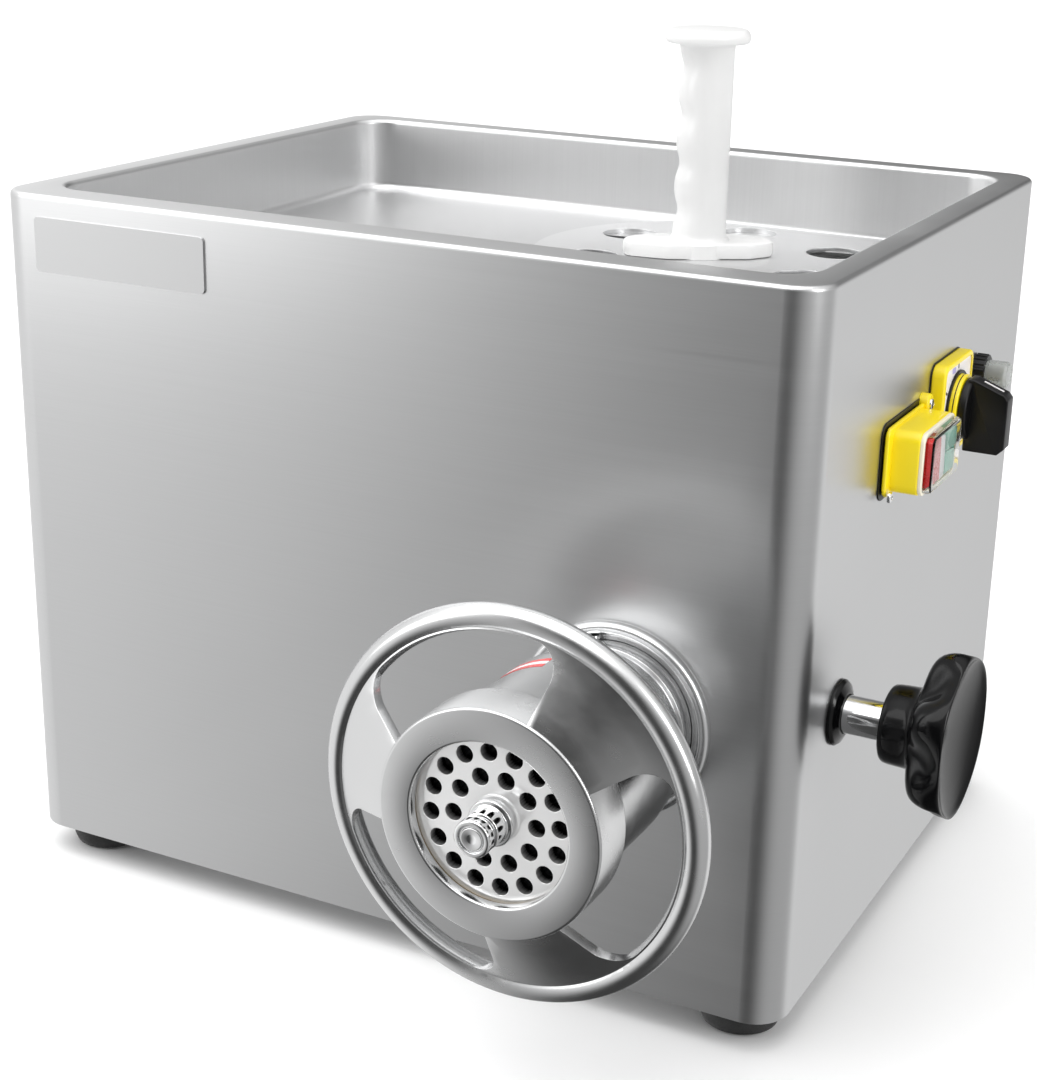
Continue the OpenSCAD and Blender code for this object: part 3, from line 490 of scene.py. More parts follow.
def wound_copper(name):
    """Enamelled wire: fine ribs round the winding over copper with a varnish sheen."""
    material, tree, shader = principled(name, Metallic=0.85, Coat_Weight=0.5, Coat_Roughness=0.2)
    ribs = object_noise(tree, (60, 1400, 60), 1.0, 1.0)
    tree.links.new(tinted(tree, ribs, (0.32, 0.12, 0.04), (0.75, 0.36, 0.16)), shader.inputs["Base Color"])
    tree.links.new(spread(tree, ribs, 0.25, 0.45), shader.inputs["Roughness"])
    bump(tree, shader, ribs, 0.4, 0.0004)
    return material


STEEL = (0.63, 0.633, 0.636)
BRIGHT = (0.74, 0.743, 0.746)
LOOKS = {
    "sheet": brushed_sheet("brushed_sheet", STEEL, 0.33, (9, 9, 1500)),
    "tray": brushed_sheet("brushed_tray", (0.72, 0.722, 0.725), 0.36, (700, 700, 9), 0.2),
    "plate": brushed_sheet("brushed_badge", BRIGHT, 0.2, (9, 9, 2600), 0.5, "Z", 0.08),
    "guard": brushed_sheet("brushed_guard", (0.8, 0.802, 0.805), 0.38, (8, 1500, 8), 0.15),
    "turned": turned_steel("turned_steel", BRIGHT, 0.22),
    "casting": polished_steel("polished_casting", (0.6, 0.603, 0.606), 0.16, 0.05),
    "wheel": polished_steel("polished_wheel", (0.7, 0.703, 0.706), 0.22, 0.0),
    "mirror": polished_steel("mirror_steel", (0.9, 0.903, 0.906), 0.08, 0.02),
    "drilled": drilled_plate("drilled_plate", 0.95, 0.1, 0.012),
    # Knife and auger nearly black: painted shade for the dark inside of the head seen through the plate's
    # holes, not the steel's own colour.
    "deep": polished_steel("painted_shade_inside", (0.02, 0.02, 0.021), 0.4, 0.05),
    "chrome": polished_steel("chrome", (0.86, 0.865, 0.87), 0.07, 0.02),
    "ground": turned_steel("ground_steel", (0.5, 0.5, 0.51), 0.28),
    "paint": machine_paint("machine_paint", (0.1, 0.105, 0.115)),
    "copper": wound_copper("copper_winding"),
    "bronze": turned_steel("bronze", (0.27, 0.22, 0.15), 0.34),
    "black": moulded_plastic("black_plastic", (0.004, 0.004, 0.0045), 0.32, scuff_and_highlight=0.02, gloss=0.3),
    "phenolic": moulded_plastic("glossy_black", (0.002, 0.002, 0.0023), 0.12, 0.12, 0.01, 200.0, 0.0, 0.2),
    "white": moulded_plastic("white_plastic", (0.88, 0.85, 0.86), 0.32, 0.2),
    "lilac": moulded_plastic("lilac_print", (0.42, 0.38, 0.75), 0.4),
    "cream": moulded_plastic("cream_plastic", (0.9, 0.84, 0.66), 0.3, 0.3),
    "pusher": moulded_plastic("pusher_plastic", (0.85, 0.85, 0.845), 0.32, 0.3, 0.0, 240.0, 0.0),
    "yellow": moulded_plastic("yellow_plastic", (0.95, 0.75, 0.005), 0.3, 0.3, scuff_and_highlight=0.04),
    "red": moulded_plastic("red_plastic", (0.72, 0.006, 0.006), 0.25, 0.4, scuff_and_highlight=0.04),
    "green": moulded_plastic("green_plastic", (0.16, 0.5, 0.36), 0.3, 0.4, scuff_and_highlight=0.04),
    "rubber": matt_rubber("black_rubber", (0.012, 0.012, 0.012)),
    "clear": clear_plastic("clear_plastic", (0.98, 0.99, 0.985), 0.03, 1.0, 1.15),
    "smoke": clear_plastic("cloudy_plastic", (0.8, 0.82, 0.8), 0.2, 0.75),
}

NODE_LOOKS = {
    "sheet": "casing_shell base_plate rear_cover feed_chute",
    "tray": "tray_pan",
    "guard": "feed_guard",
    "plate": "name_plate",
    "turned": "receiver_sleeve clamp_bush ring_nut head_collar",
    "casting": "head_barrel",
    "wheel": "handwheel",
    "mirror": "auger_stud",
    "drilled": "cutting_plate",
    "deep": "knife auger",
    "chrome": "clamp_shaft cover_screws foot_bolts gearbox_bolts locating_pin plate_pin",
    "ground": "shaft_bearings output_shaft output_gear layshaft rotor",
    "paint": "gearbox_housing gearbox_cover motor_frame fan_cowl motor_bracket",
    "copper": "stator",
    "bronze": "head_bush slip_ring clamp_pad",
    "black": "cooling_fan terminal_block cable_gland gland_nut cam_switch_body breaker_body breaker_nut",
    "phenolic": "clamp_collar clamp_knob selector_handle",
    "white": "capacitor cam_switch_legend",
    "pusher": "pusher",
    "yellow": "switch_housing cam_switch_plate",
    "red": "stop_button",
    "green": "start_button",
    "rubber": "rubber_feet shaft_seal reset_button",
    "clear": "switch_boot",
    "smoke": "breaker_boot",
}


def paint(obj, look):
    obj.data.materials.clear()
    obj.data.materials.append(LOOKS[look])


for look, names in NODE_LOOKS.items():
    for node_name in names.split():
        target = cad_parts[node_name]
        if target.material_slots:
            for material_slot in target.material_slots:
                material_slot.material = LOOKS[look]
        else:
            target.data.materials.append(LOOKS[look])


def piece(obj, look, body, slot, *nodes):
    """Finishes a new piece: its material, the body it rides on and what it stands for; the slot argument is
    not used.
    """
    if look:
        paint(obj, look)
    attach(obj, body)
    if nodes:
        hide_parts(*nodes)
    return obj


# ---------------------------------------------------------------- stage, camera and light

CAMERA_YAW, CAMERA_PITCH, CAMERA_ROLL = 27.26, 19.28, 1.13
CAMERA_PLACE = Vector((0.8435, -0.9410, 0.6313))
CAMERA_LENS = 67.96


def make_camera():
    """The photograph's view: the camera stands to the right of the casing and looks down at it."""
    yaw, pitch, roll = radians(CAMERA_YAW), radians(CAMERA_PITCH), radians(CAMERA_ROLL)
    camera_data = bpy.data.cameras.new("camera")
    camera = bpy.data.objects.new("camera", camera_data)
    bpy.context.scene.collection.objects.link(camera)
    forward = Vector((-sin(yaw) * cos(pitch), cos(yaw) * cos(pitch), -sin(pitch)))
    right = Vector((cos(yaw), sin(yaw), 0))
    up = right.cross(forward)
    right_rolled = right * cos(roll) + up * sin(roll)
    up_rolled = up * cos(roll) - right * sin(roll)
    place = CASE_LOW + CAMERA_PLACE
    camera.matrix_world = Matrix((
        (right_rolled.x, up_rolled.x, -forward.x, place.x),
        (right_rolled.y, up_rolled.y, -forward.y, place.y),
        (right_rolled.z, up_rolled.z, -forward.z, place.z),
        (0, 0, 0, 1),
    ))
    camera_data.sensor_width = 36
    camera_data.lens = CAMERA_LENS
    camera_data.clip_start = 0.05
    bpy.context.scene.camera = camera


def make_stage():
    """Pale paper floor. Polished metal doesn't mirror it, so that the casing shows the soft studio."""
    floor = mesh_object("floor", [(-8, -8, 0), (8, -8, 0), (8, 8, 0), (-8, 8, 0)], [(0, 1, 2, 3)])
    material, tree, shader = principled("floor_paper", Roughness=0.8)
    mottle = object_noise(tree, (3, 3, 3), 1.0, 3.0)
    tree.links.new(tinted(tree, mottle, (0.9, 0.9, 0.9), (0.92, 0.92, 0.92)), shader.inputs["Base Color"])
    rays = wire(tree, "ShaderNodeLightPath")
    clear = wire(tree, "ShaderNodeBsdfTransparent")
    mix = tree.nodes.new("ShaderNodeMixShader")
    tree.links.new(rays.outputs["Is Glossy Ray"], mix.inputs["Fac"])
    tree.links.new(shader.outputs["BSDF"], mix.inputs[1])
    tree.links.new(clear.outputs["BSDF"], mix.inputs[2])
    tree.links.new(mix.outputs["Shader"], tree.nodes["Material Output"].inputs["Surface"])
    floor.data.materials.append(material)


def area_light(name, place, target, size, power):
    data = bpy.data.lights.new(name, "AREA")
    data.shape = "RECTANGLE"
    data.size, data.size_y = size
    data.energy = power
    light = bpy.data.objects.new(name, data)
    light.location = place
    light.rotation_euler = (Vector(target) - Vector(place)).to_track_quat("-Z", "Y").to_euler()
    bpy.context.scene.collection.objects.link(light)


def make_world():
    """A studio that is bright at the left, above and behind, and dim straight ahead of the casing."""
    world = bpy.data.worlds.new("studio")
    bpy.context.scene.world = world
    world.use_nodes = True
    tree = world.node_tree
    background = tree.nodes["Background"]
    place = wire(tree, "ShaderNodeTexCoord")
    split = wire(tree, "ShaderNodeSeparateXYZ", Vector=place.outputs["Generated"])
    low_back = wire(tree, "ShaderNodeVectorMath", {"operation": "DOT_PRODUCT"}, i0=place.outputs["Generated"])
    low_back.inputs[1].default_value = (0.27, 0.88, -0.40)
    lobes = (
        (split.outputs["X"], 0.95, (-0.15, -0.7)),
        (split.outputs["X"], 0.45, (0.15, 0.8)),
        (low_back.outputs["Value"], 0.7, (0.75, 0.97)),
        (split.outputs["Z"], 0.9, (0.35, 0.95)),
    )
    level = 0.06
    for value, strength, source in lobes:
        level = add(tree, spread(tree, value, 0, strength, source, "SMOOTHSTEP"), level)
    rays = wire(tree, "ShaderNodeLightPath")
    seen = rays.outputs["Is Camera Ray"]
    strength = add(tree, level, add(tree, seen, 1.0, "MULTIPLY"), "MAXIMUM")
    tree.links.new(strength, background.inputs["Strength"])
    background.inputs["Color"].default_value = (1, 1, 1, 1)


def make_light():
    make_world()
    data = bpy.data.lights.new("soft_sky", "SUN")
    data.energy = 1.9
    data.angle = radians(70)
    sun = bpy.data.objects.new("soft_sky", data)
    sun.rotation_euler = (radians(14), radians(-12), 0)
    bpy.context.scene.collection.objects.link(sun)
    area_light("strip_left", (-1.5, -1.5, 1.0), (0, 0, 0.25), (1.1, 1.6), 9)
    area_light("strip_right", (1.9, -0.5, 1.1), (0.25, 0, 0.2), (0.35, 1.3), 12)


# ---------------------------------------------------------------- casing and tray

EDGE = 3.0
RIM_ROLL = 3.5
CORNER = 22.0
SHEET = 2.0
TRAY_CORNER = 25.0
TRAY_BEND = 5.5
THROAT = CASE_LOW + Vector((0.350, 0.285, 0))
THROAT_R = 103.0


def casing_ring(inset, z):
    return rect_ring((CASE_LOW.x + inset * MM, CASE_LOW.y + inset * MM),
                     (CASE_HIGH.x - inset * MM, CASE_HIGH.y - inset * MM), (CORNER - inset) * MM, z)


def tray_ring(inward, z):
    low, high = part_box("tray_pan")
    return rect_ring((low.x + inward * MM, low.y + inward * MM),
                     (high.x - inward * MM, high.y - inward * MM), (TRAY_CORNER - inward) * MM, z)


def arc(steps, start, end):
    return [radians(start + (end - start) * k / steps) for k in range(steps + 1)]


def round_ring(points, centre, radius, z):
    """The same number of points on a circle, each in its own direction from the centre."""
    ring = []
    for p in points:
        aim = Vector((p.x - centre.x, p.y - centre.y, 0)).normalized()
        ring.append(Vector((centre.x, centre.y, z)) + aim * radius)
    return ring


def make_casing():
    """One folded shell: outside walls, rounded rim, tray with rolled mouth, bent floor and throat."""
    top, bottom = CASE_HIGH.z, CASE_LOW.z
    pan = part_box("tray_pan")[0].z
    floor = pan + SHEET * MM
    rings = [casing_ring(0, bottom)]
    for a in arc(6, 0, 90):
        rings.append(casing_ring(EDGE * (1 - cos(a)), top - EDGE * MM * (1 - sin(a))))
    for a in arc(6, 0, 90):
        rings.append(tray_ring(SHEET - RIM_ROLL * (1 - sin(a)), top - RIM_ROLL * MM * (1 - cos(a))))
    for a in arc(7, 0, 90):
        rings.append(tray_ring(SHEET + TRAY_BEND * (1 - cos(a)), floor + TRAY_BEND * MM * (1 - sin(a))))
    edge = rings[-1]
    mouth = round_ring(edge, THROAT, THROAT_R * MM, floor)
    rings.append([p.lerp(q, 0.5) for p, q in zip(edge, mouth)])
    rings.append(mouth)
    rings.append(round_ring(edge, THROAT, THROAT_R * MM, pan))
    for a in arc(5, 90, 0):
        rings.append(tray_ring(TRAY_BEND * (1 - cos(a)), pan + TRAY_BEND * MM * (1 - sin(a))))
    rings.append(tray_ring(0, top - SHEET * MM))
    rings.append(casing_ring(SHEET, top - SHEET * MM))
    rings.append(casing_ring(SHEET, bottom))
    shell = skin("casing_and_tray", rings)
    boolean(shell, lathe("hole", [(0, -6, 0), (46.35, -6, 0), (46.35, 6, 0), (0, 6, 0)], HEAD, FORWARD))
    cover_low, cover_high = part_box("rear_cover")
    margin = 16 * MM
    hatch = mesh_object("hatch", *block((cover_low.x + margin, CASE_HIGH.y - 0.006, cover_low.z + margin),
                                        (cover_high.x - margin, CASE_HIGH.y + 0.006, cover_high.z - margin)))
    boolean(shell, hatch)
    smooth(shell, 35)
    paint(shell, "sheet")
    shell.data.materials.append(LOOKS["tray"])
    tray_low, tray_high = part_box("tray_pan")
    for face in shell.data.polygons:
        at = face.center
        inside = tray_low.x < at.x < tray_high.x and tray_low.y < at.y < tray_high.y
        if inside and at.z > pan - MM and at.z < top - 0.5 * MM:
            face.material_index = 1
    piece(shell, None, "housing", "brushed_casing", "casing_shell", "tray_pan")


def block(low, high):
    xs, ys, zs = zip(low, high)
    verts = [(x, y, z) for z in zs for y in ys for x in xs]
    return verts, [(0, 1, 3, 2), (4, 5, 7, 6), (0, 1, 5, 4), (2, 3, 7, 6), (0, 2, 6, 4), (1, 3, 7, 5)]


# ---------------------------------------------------------------- grinding head

BELL_R = 55.0
NUT_R, NUT_BACK, NUT_FACE = 62.0, 118.0, 149.0
OPENING_R = 44.0
LABEL_START, STRIPE = 57.0, 4.2


def make_head():
    """Bell-shaped casting, polished all over."""
    back = -212.0
    plate_front, plate_back = PLATE_FRONT / MM, PLATE_BACK / MM
    bell = lathe("head_casting", [
        (41.99, back, 0.5), (41.99, 14, 3), (50, 23, 6), (53.5, 35, 10), (BELL_R, 49, 14), (BELL_R, 115, 1),
        (56, 117, 0.3), (56, plate_front, 0.4), (50.05, plate_front, 0.3), (50.05, plate_back, 0),
        (46, plate_back, 0.5), (46, 78, 2), (34, 66, 2), (34, -200, 0), (18, -200, 0.5), (18, back, 0.3),
    ], HEAD, FORWARD, 6, 128)
    window = mesh_object("window", *block((-0.031, 0.112, 0.0), (0.031, 0.182, 0.06)), HEAD)
    boolean(bell, window)
    groove_at = radians(105)
    groove = prism("groove", [(39, -2.6, 0), (44, -2.6, 0), (44, 2.6, 0), (39, 2.6, 0)], 227,
                   HEAD + Vector((0, 0.213, 0)), (cos(groove_at), 0, sin(groove_at)),
                   (-sin(groove_at), 0, cos(groove_at)), FORWARD, 0)
    boolean(bell, groove)
    smooth(bell, 38)
    piece(bell, "casting", "grinder_head", "cast_head", "head_barrel")


def make_label():
    """Plain striped sticker wrapped round the top left of the bell."""
    for i, look in enumerate(("red", "white", "red")):
        start = LABEL_START + STRIPE * i
        rings = []
        for a in arc(24, 102, 130):
            rings.append([HEAD + Vector((r * cos(a), -w, r * sin(a))) * MM for r, w in (
                (BELL_R - 0.3, start), (BELL_R + 0.12, start),
                (BELL_R + 0.12, start + STRIPE), (BELL_R - 0.3, start + STRIPE))])
        band = skin("label_stripe_%d" % (i + 1), rings, Vector(), False, True, True)
        piece(smooth(band, 40), look, "grinder_head", "cast_head")


def make_wheel():
    """Ring nut and handwheel: dished webs run out of the nut's front face into the rim tube."""
    lip = PLATE_FRONT / MM + 2.1
    nut = lathe("nut_turned", [
        (56.05, NUT_BACK, 0.3), (60, NUT_BACK, 1.5), (NUT_R, NUT_BACK + 2.5, 2),
        (NUT_R, NUT_FACE, 1.5), (OPENING_R, NUT_FACE, 1.5), (OPENING_R, lip, 0.3), (56.05, lip, 0.5),
    ], HEAD, FORWARD, 5, 192)
    piece(nut, "wheel", "wheel_nut", "polished_nut", "ring_nut")
    webs = cad_copy("wheel_webs", "handwheel", HEAD)
    tidy_normals(webs)
    round_edges(webs, 1.2, 4, 35)
    piece(smooth(webs, 32), "wheel", "wheel_nut", "polished_nut", "handwheel")


def make_stud():
    """Polished stud with a collar, a turned groove and a ringed end."""
    stud = lathe("stud_turned", [
        (0, 98, 0), (6, 98, 0.5), (6, 126, 0), (10, 126, 0.4), (10, 143, 0.4), (12.5, 143, 1), (12.5, 146, 1),
        (10, 146, 0.6), (10, 155.5, 0.8), (7.8, 156.4, 0.5), (7.8, 158.4, 0.5), (10, 159.4, 0.8),
        (10, 165, 1.8),
        (7.4, 165, 0.3), (7.2, 164, 0.3), (6.2, 164, 0.3), (5.9, 165, 0.5), (2.6, 164.6, 1), (0, 163.8, 0),
    ], HEAD, FORWARD, 5, 72, 40)
    piece(stud, "chrome", "auger", "bearing_steel", "auger_stud")


def make_collar():
    """Dished ring round the sleeve with a rolled bead at its outer edge."""
    inner = 46.35
    collar = lathe("collar_ring", [
        (inner, 0, 0.2), (57, 0, 0.4), (57, 6, 2.8), (51.0, 6, 2.8), (50.2, 1.6, 2), (inner, 1.3, 0.3),
    ], HEAD, FORWARD, 8, 160)
    piece(collar, "turned", "housing", "polished_collar", "head_collar")


# ---------------------------------------------------------------- pusher and knob

GRIP_START, GRIP_PITCH, GRIPS = 29.0, 30.0, 4
PUSHER_TURN = radians(30)
HANDLE_SEGMENTS = 72
GROOVE_DEPTH = 2.6
FOOT_FLARE = 4.0


def turned_ring(radius_at, z):
    """A ring of points whose radius depends on the angle, turned as the pusher is."""
    angles = [2 * pi * k / HANDLE_SEGMENTS for k in range(HANDLE_SEGMENTS)]
    turned = [(radius_at(a), a + PUSHER_TURN) for a in angles]
    return [Vector((radius * cos(t), radius * sin(t), z)) * MM for radius, t in turned]


def make_pusher():
    """White plastic pusher: long rounded foot, grip with four finger hollows, mushroom cap."""
    low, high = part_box("pusher")
    origin = Vector(((low.x + high.x) / 2, (low.y + high.y) / 2, low.z))
    height = (high.z - low.z) / MM
    grip_r, cap_r, cap_t = 17.25, 27.0, 8.5
    wave_from = GRIP_START - GRIP_PITCH / 2

    def grip(z):
        wave = 0.5 - 0.5 * cos(2 * pi * (z - wave_from) / GRIP_PITCH)
        flare = FOOT_FLARE * min(1.0, max(0.0, 1 - (z - 9.0) / 5.0)) ** 2
        wave = wave ** 1.5 if wave_from < z < wave_from + GRIP_PITCH * GRIPS else 0.0

        def radius(a):
            facing = max(0.0, -cos(a))
            return grip_r + flare - GROOVE_DEPTH * wave * facing ** 1.5
        return radius

    rings = [turned_ring(lambda a: 0.01, 0.0)]
    z = 0.0
    while z < height - cap_t - 5:
        rings.append(turned_ring(grip(z), z))
        z += 1.5
    cap = filleted([(grip_r, height - cap_t - 5, 0), (grip_r + 0.5, height - cap_t, 5),
                    (cap_r - 0.5, height - cap_t, 3), (cap_r, height - cap_t / 2, 4),
                    (cap_r - 2, height, 4), (0.01, height, 0)], 7, False)
    rings += [turned_ring(lambda a, r=p.x: r, p.y) for p in cap[1:]]
    handle = skin("handle", rings, origin, False, True, True)
    half, rad = 28.0, 21.0
    outline = filleted([(-half - rad, -9, 9), (-half + 6, -rad, 20), (half + 4, -rad + 3, 18),
                        (half + rad, -8, 10), (half + rad - 2, 12, 12), (half - 6, rad, 16),
                        (-half, rad, 22), (-half - rad, 8, 12)], 8)
    foot = []
    for inset, z in ((3.0, 0.0), (0.8, 0.6), (0.0, 2.4), (0.0, 7.4), (0.9, 9.2), (3.2, 10.0)):
        points = [p * (1 - inset / p.length) for p in outline]
        foot.append([Vector((q.x * cos(PUSHER_TURN) - q.y * sin(PUSHER_TURN),
                             q.x * sin(PUSHER_TURN) + q.y * cos(PUSHER_TURN), z)) * MM for q in points])
    body = join("pusher_body", [handle, skin("foot", foot, origin, False, True, True)])
    piece(smooth(body, 40), "pusher", "pusher", "pusher_plastic", "pusher")


def make_knob():
    """Six-lobed phenolic knob with a round hub behind and a dished face."""
    low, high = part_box("clamp_knob")
    back = (low.x - CASE_HIGH.x) / MM
    face = (high.x - CASE_HIGH.x) / MM
    origin = Vector((CASE_HIGH.x, CLAMP.y, CLAMP.z))
    segments = 144
    stations = [
        (11.05, back, 0), (19, back, 0), (21.5, back + 0.8, 0), (22.6, back + 3, 0), (22.8, back + 15, 0),
        (23.4, back + 18, 0), (27, back + 19.4, 1), (33, back + 20.4, 6), (40, back + 22.5, 12),
        (44.5, back + 25.5, 13.5), (47, back + 30, 12.5), (47.8, back + 34, 9.5), (47.6, back + 37, 6),
        (46.8, face - 2.2, 3), (46.0, face - 0.6, 1.2), (45.0, face, 0.8), (43.8, face - 0.4, 0),
        (42.4, face - 2.4, 0), (30, face - 7, 0), (18, face - 9.5, 0), (8, face - 11, 0),
        (0.01, face - 11, 0),
        (0.01, back + 19.5, 0), (11.05, back + 19.5, 0),
    ]
    rings = []
    for radius, out, depth in stations:
        ring = []
        for k in range(segments):
            a = 2 * pi * k / segments
            hollow = (0.5 - 0.5 * cos(6 * (a - pi / 2))) ** 1.2
            reach = radius - depth * hollow
            ring.append(Vector((out, reach * cos(a), reach * sin(a))) * MM)
        rings.append(ring)
    knob = skin("knob_body", rings, origin)
    tidy_normals(knob)
    knob.modifiers.new("round", "SUBSURF").levels = 1
    apply_modifiers(knob)
    smooth(knob, 60)
    piece(knob, "phenolic", "clamp_screw", "glossy_black", "clamp_knob")
    collar = lathe("knob_collar", [
        (11.3, 0, 0.2), (19, 0, 0.3), (19, 1.6, 0.8), (17.6, 3.4, 2), (13.0, 5.6, 3), (11.3, 6, 0.6),
    ], origin, (1, 0, 0), 7, 96, 50)
    piece(collar, "phenolic", "housing", "glossy_black", "clamp_collar")


# ---------------------------------------------------------------- controls on the right wall

def on_wall(node):
    """The point of the right wall behind the middle of a control."""
    at = middle(node)
    return Vector((CASE_HIGH.x, at.y, at.z))


def wall_prism(name, corners, start, end, centre, bevel=0.6, segments=3):
    """A plate or block that stands on the right wall from one distance out to another."""
    return prism(name, corners, end - start, centre + Vector((start * MM, 0, 0)),
                 (0, 1, 0), (0, 0, 1), (1, 0, 0), bevel, 6, segments)


def wall_lathe(name, corners, centre, across=0.0, up=0.0):
    return lathe(name, corners, centre + Vector((0, across, up)) * MM, (1, 0, 0), 5, 64)


def shifted(corners, across, up=0.0):
    return [(a + across, b + up, r) for a, b, r in corners]


EAR_ACROSS, EAR_UP = 34, 19


def make_switch():
    """Yellow start and stop switch: stepped flange with screw ears, deep box, clear cover."""
    centre = on_wall("switch_housing")
    box_out = 20.0
    wide, tall = 60.0, 37.0
    parts = [
        wall_prism("switch_body", box_corners(76, 44, 7), 0, 2.4, centre, 0.8),
        wall_prism("step", box_corners(72.5, 40.5, 6), 1.5, 4, centre, 0.8),
        wall_prism("box", box_corners(wide, tall, 6.5), 2, box_out, centre, 1.2, 4),
        wall_prism("seam", shifted(box_corners(1.6, tall + 0.7, 0.4), -9), 4, box_out - 0.6, centre, 0.4),
        wall_prism("inside", box_corners(wide - 4, tall - 4, 3), -34, 0.5, centre, 0.6),
    ]
    parts += [wall_lathe("ear", [(0, 0, 0), (6, 0, 0.3), (6, 6, 1.5), (0, 6, 0)],
                         centre, s * EAR_ACROSS, s * EAR_UP)
              for s in (-1, 1)]
    body = join("switch_body", parts)
    # Painted shade: a thin black band round the foot of the switch, standing in for the dark shadow on the
    # wall round it.
    shade_band = wall_prism("switch_shade_band", box_corners(77.2, 45.2, 7.6), 0, 0.7, centre, 0.2)
    piece(shade_band, "black", "housing", "black_plastic")
    well = wall_prism("well", box_corners(52, 29.5, 3), 7, box_out + 3, centre, 0)
    boolean(body, well)
    smooth(body, 35)
    piece(body, "yellow", "housing", "yellow_plastic", "switch_housing")
    for s, name in ((-1, "switch_screw_low"), (1, "switch_screw_high")):
        screw = wall_lathe(name, [(0, 5.6, 0), (3.2, 5.6, 0), (3.2, 7.2, 1), (1.2, 7.5, 0.2),
                                  (1.2, 6.6, 0), (0, 6.6, 0)], centre, s * EAR_ACROSS, s * EAR_UP)
        piece(screw, "chrome", "housing", "bright_fasteners")
    seat = box_out - 10.5
    stop = wall_prism("stop_cap", shifted(box_corners(19, 28, 2), -15.3), seat, box_out + 5, centre, 3.0, 1)
    piece(smooth(stop, 20), "red", "stop_button", "red_plastic", "stop_button")
    start_parts = [
        wall_prism(name, shifted(box_corners(18, tall_part, 1.5), 15.8, up),
                   seat, box_out + proud, centre, edge, 2)
        for name, tall_part, up, proud, edge in (
            ("start_cap", 13.6, 7.1, 4.2, 1.4), ("start_low", 13.6, -7.1, 3.4, 1.4),
            ("start_base", 28, 0, 2.4, 0.4))
    ]
    start = smooth(join("start_cap", start_parts), 25)
    piece(start, "green", "start_button", "green_plastic", "start_button")
    lens = wall_prism("switch_lens", shifted(box_corners(11, 28.4, 1.5), 0.6),
                      7, box_out + 3.6, centre, 1.8, 2)
    piece(smooth(lens, 25), "white", "housing", "white_plastic")
    cover = wall_prism("cover_rim", box_corners(wide - 0.6, tall - 0.6, 6.2),
                       box_out - 0.3, box_out + 2.2, centre, 0.7)
    boolean(cover, wall_prism("gap", box_corners(wide - 6, tall - 6, 4), box_out - 4, box_out + 5, centre, 0))
    piece(smooth(cover, 35), "cream", "housing", "clear_cover", "switch_boot")
    dome = wall_prism("cover_clear", box_corners(wide - 3.4, tall - 3.4, 5.4),
                      box_out + 0.4, box_out + 7, centre, 2.4, 4)
    boolean(dome, wall_prism("hollow", box_corners(wide - 5.4, tall - 5.4, 4.4),
                             box_out - 2, box_out + 6, centre, 0))
    piece(smooth(dome, 35), "clear", "housing", "clear_cover", "switch_boot")


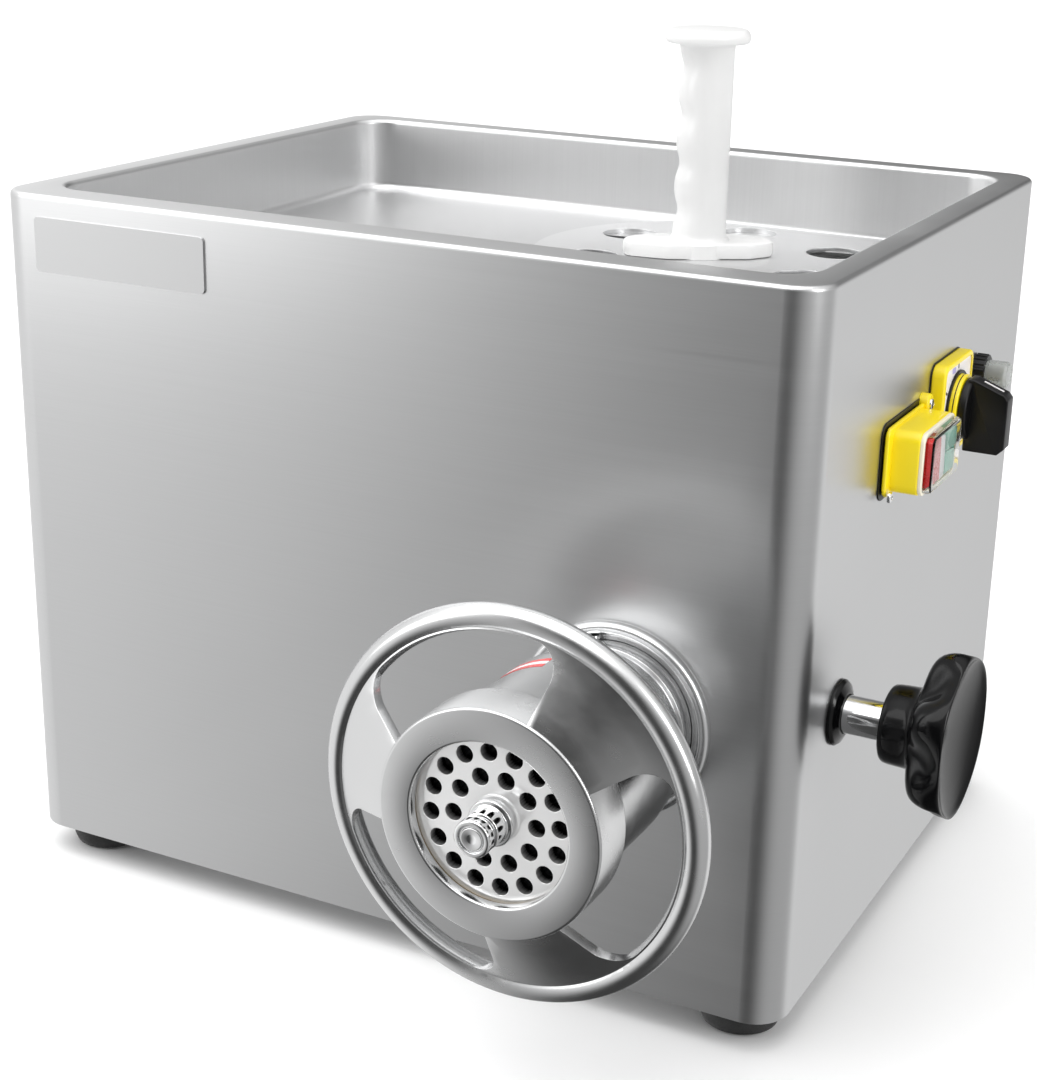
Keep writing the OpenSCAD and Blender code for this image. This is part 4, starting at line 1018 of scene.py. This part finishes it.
def make_cam_switch():
    """Selector: thick yellow frame round a printed plate, yellow neck, black disc and tall grip."""
    centre = on_wall("cam_switch_plate")
    wide = 60.0
    plate = wall_prism("cam_frame", box_corners(wide, wide, 7), 0, 9, centre, 1.6, 4)
    boolean(plate, wall_prism("recess", box_corners(wide - 6, wide - 6, 4.5), 7.5, 12, centre, 0))
    neck = wall_lathe("neck", [(5.5, 1, 0), (20, 1, 0), (20, 14, 1), (5.5, 14, 0)], centre)
    frame_and_neck = smooth(join("cam_frame", [plate, neck]), 35)
    piece(frame_and_neck, "yellow", "housing", "yellow_plastic", "cam_switch_plate")
    # Painted shade: a thin black band round the foot of the plate, standing in for the dark shadow on the
    # wall round it.
    shade_band = wall_prism("cam_base_shade_band", box_corners(wide + 1.2, wide + 1.2, 7.6), 0, 0.7, centre, 0.2)
    piece(shade_band, "black", "housing", "black_plastic")
    legend = wall_prism("cam_legend", box_corners(wide - 6.4, wide - 6.4, 4.2), 7.4, 8.1, centre, 0.2)
    boolean(legend, wall_lathe("hole", [(0, 0, 0), (20.3, 0, 0), (20.3, 20, 0), (0, 20, 0)], centre))
    piece(smooth(legend, 35), "white", "housing", "white_plastic", "cam_switch_legend")
    # cam_shade_ring: a black collar round the neck's foot that also stands in for the shadow gap there, as
    # painted shade; cam_line: a thin black groove line on the neck.
    for name, r, out, tall in (("cam_shade_ring", 22.2, 8.0, 1.6), ("cam_line", 20.15, 11.4, 0.7)):
        ring = wall_lathe(name, [(19.5, out, 0), (r, out, 0.2), (r, out + tall, 0.3), (19.5, out + tall, 0)],
                          centre)
        piece(ring, "black", "housing", "black_plastic")
    for i, turn in enumerate((-60, 0, 60)):
        a = radians(90 - turn)
        tick = prism("cam_tick_%d" % (i + 1), box_corners(1.5, 3.2, 0.4), 0.25,
                     centre + Vector((8.0, 25 * cos(a), 25 * sin(a))) * MM,
                     (0, sin(a), -cos(a)), (0, cos(a), sin(a)), (1, 0, 0), 0)
        piece(tick, "black", "housing", "black_plastic")
    patch = wall_prism("cam_print", shifted(box_corners(7, 3.4, 1), -9.5, 24), 8.0, 8.22, centre, 0)
    piece(patch, "lilac", "housing", "white_plastic")
    disc = wall_lathe("selector_grip", [(5, 0.5, 0), (5, 14.4, 0), (18.5, 14.4, 0.8), (18.5, 19.4, 1.6),
                                        (0, 19.4, 0), (0, 0.5, 0)], centre)
    grip = prism("grip", [(16, -25, 0), (37, -25, 1), (41, -21, 1), (41, 9, 2), (38.5, 12, 2),
                          (20, 19, 2), (16, 19, 0)], 13,
                 centre + Vector((0, 6.5, 0)) * MM, (1, 0, 0), (0, 0, 1), (0, -1, 0), 1.4, 4, 3)
    handle = smooth(join("selector_grip", [disc, grip]), 35)
    piece(handle, "black", "selector", "glossy_black", "selector_handle")
    slope = Vector((17.5, 0, -6.6)).normalized()
    line = prism("selector_line", box_corners(13, 1.9, 0.3), 0.3, centre + Vector((30.5, 0, 15.15)) * MM,
                 slope, (0, 1, 0), (-slope.z, 0, slope.x), 0)
    piece(line, "white", "selector", "white_plastic")


def make_breaker():
    """Cloudy soft cap over the reset button."""
    cap = wall_lathe("breaker_cap", [(7, 7.9, 0.2), (8.5, 7.9, 0.3), (8.5, 20, 1), (7.2, 22, 1), (0, 22, 0),
                                     (0, 20, 0), (7, 20, 0.5)], on_wall("breaker_nut"))
    piece(cap, "smoke", "housing", "clear_cover", "breaker_boot")


def soften_frame():
    """Small radii on the CAD pieces that keep their own mesh."""
    soften(0.4, "feed_guard name_plate rear_cover cutting_plate receiver_sleeve clamp_shaft cover_screws")
    soften(0.8, "locating_pin breaker_nut cable_gland gland_nut")
    soften(0.7, "knife foot_bolts gearbox_bolts plate_pin base_plate", 2)
    soften(1.5, "rubber_feet gearbox_housing gearbox_cover capacitor")


# ---------------------------------------------------------------- closing


make_camera()
make_stage()
make_light()
make_casing()
make_head()
make_label()
make_wheel()
make_stud()
make_collar()
make_pusher()
make_knob()
make_switch()
make_cam_switch()
make_breaker()
soften_frame()
bpy.context.scene.view_settings.view_transform = "Standard"
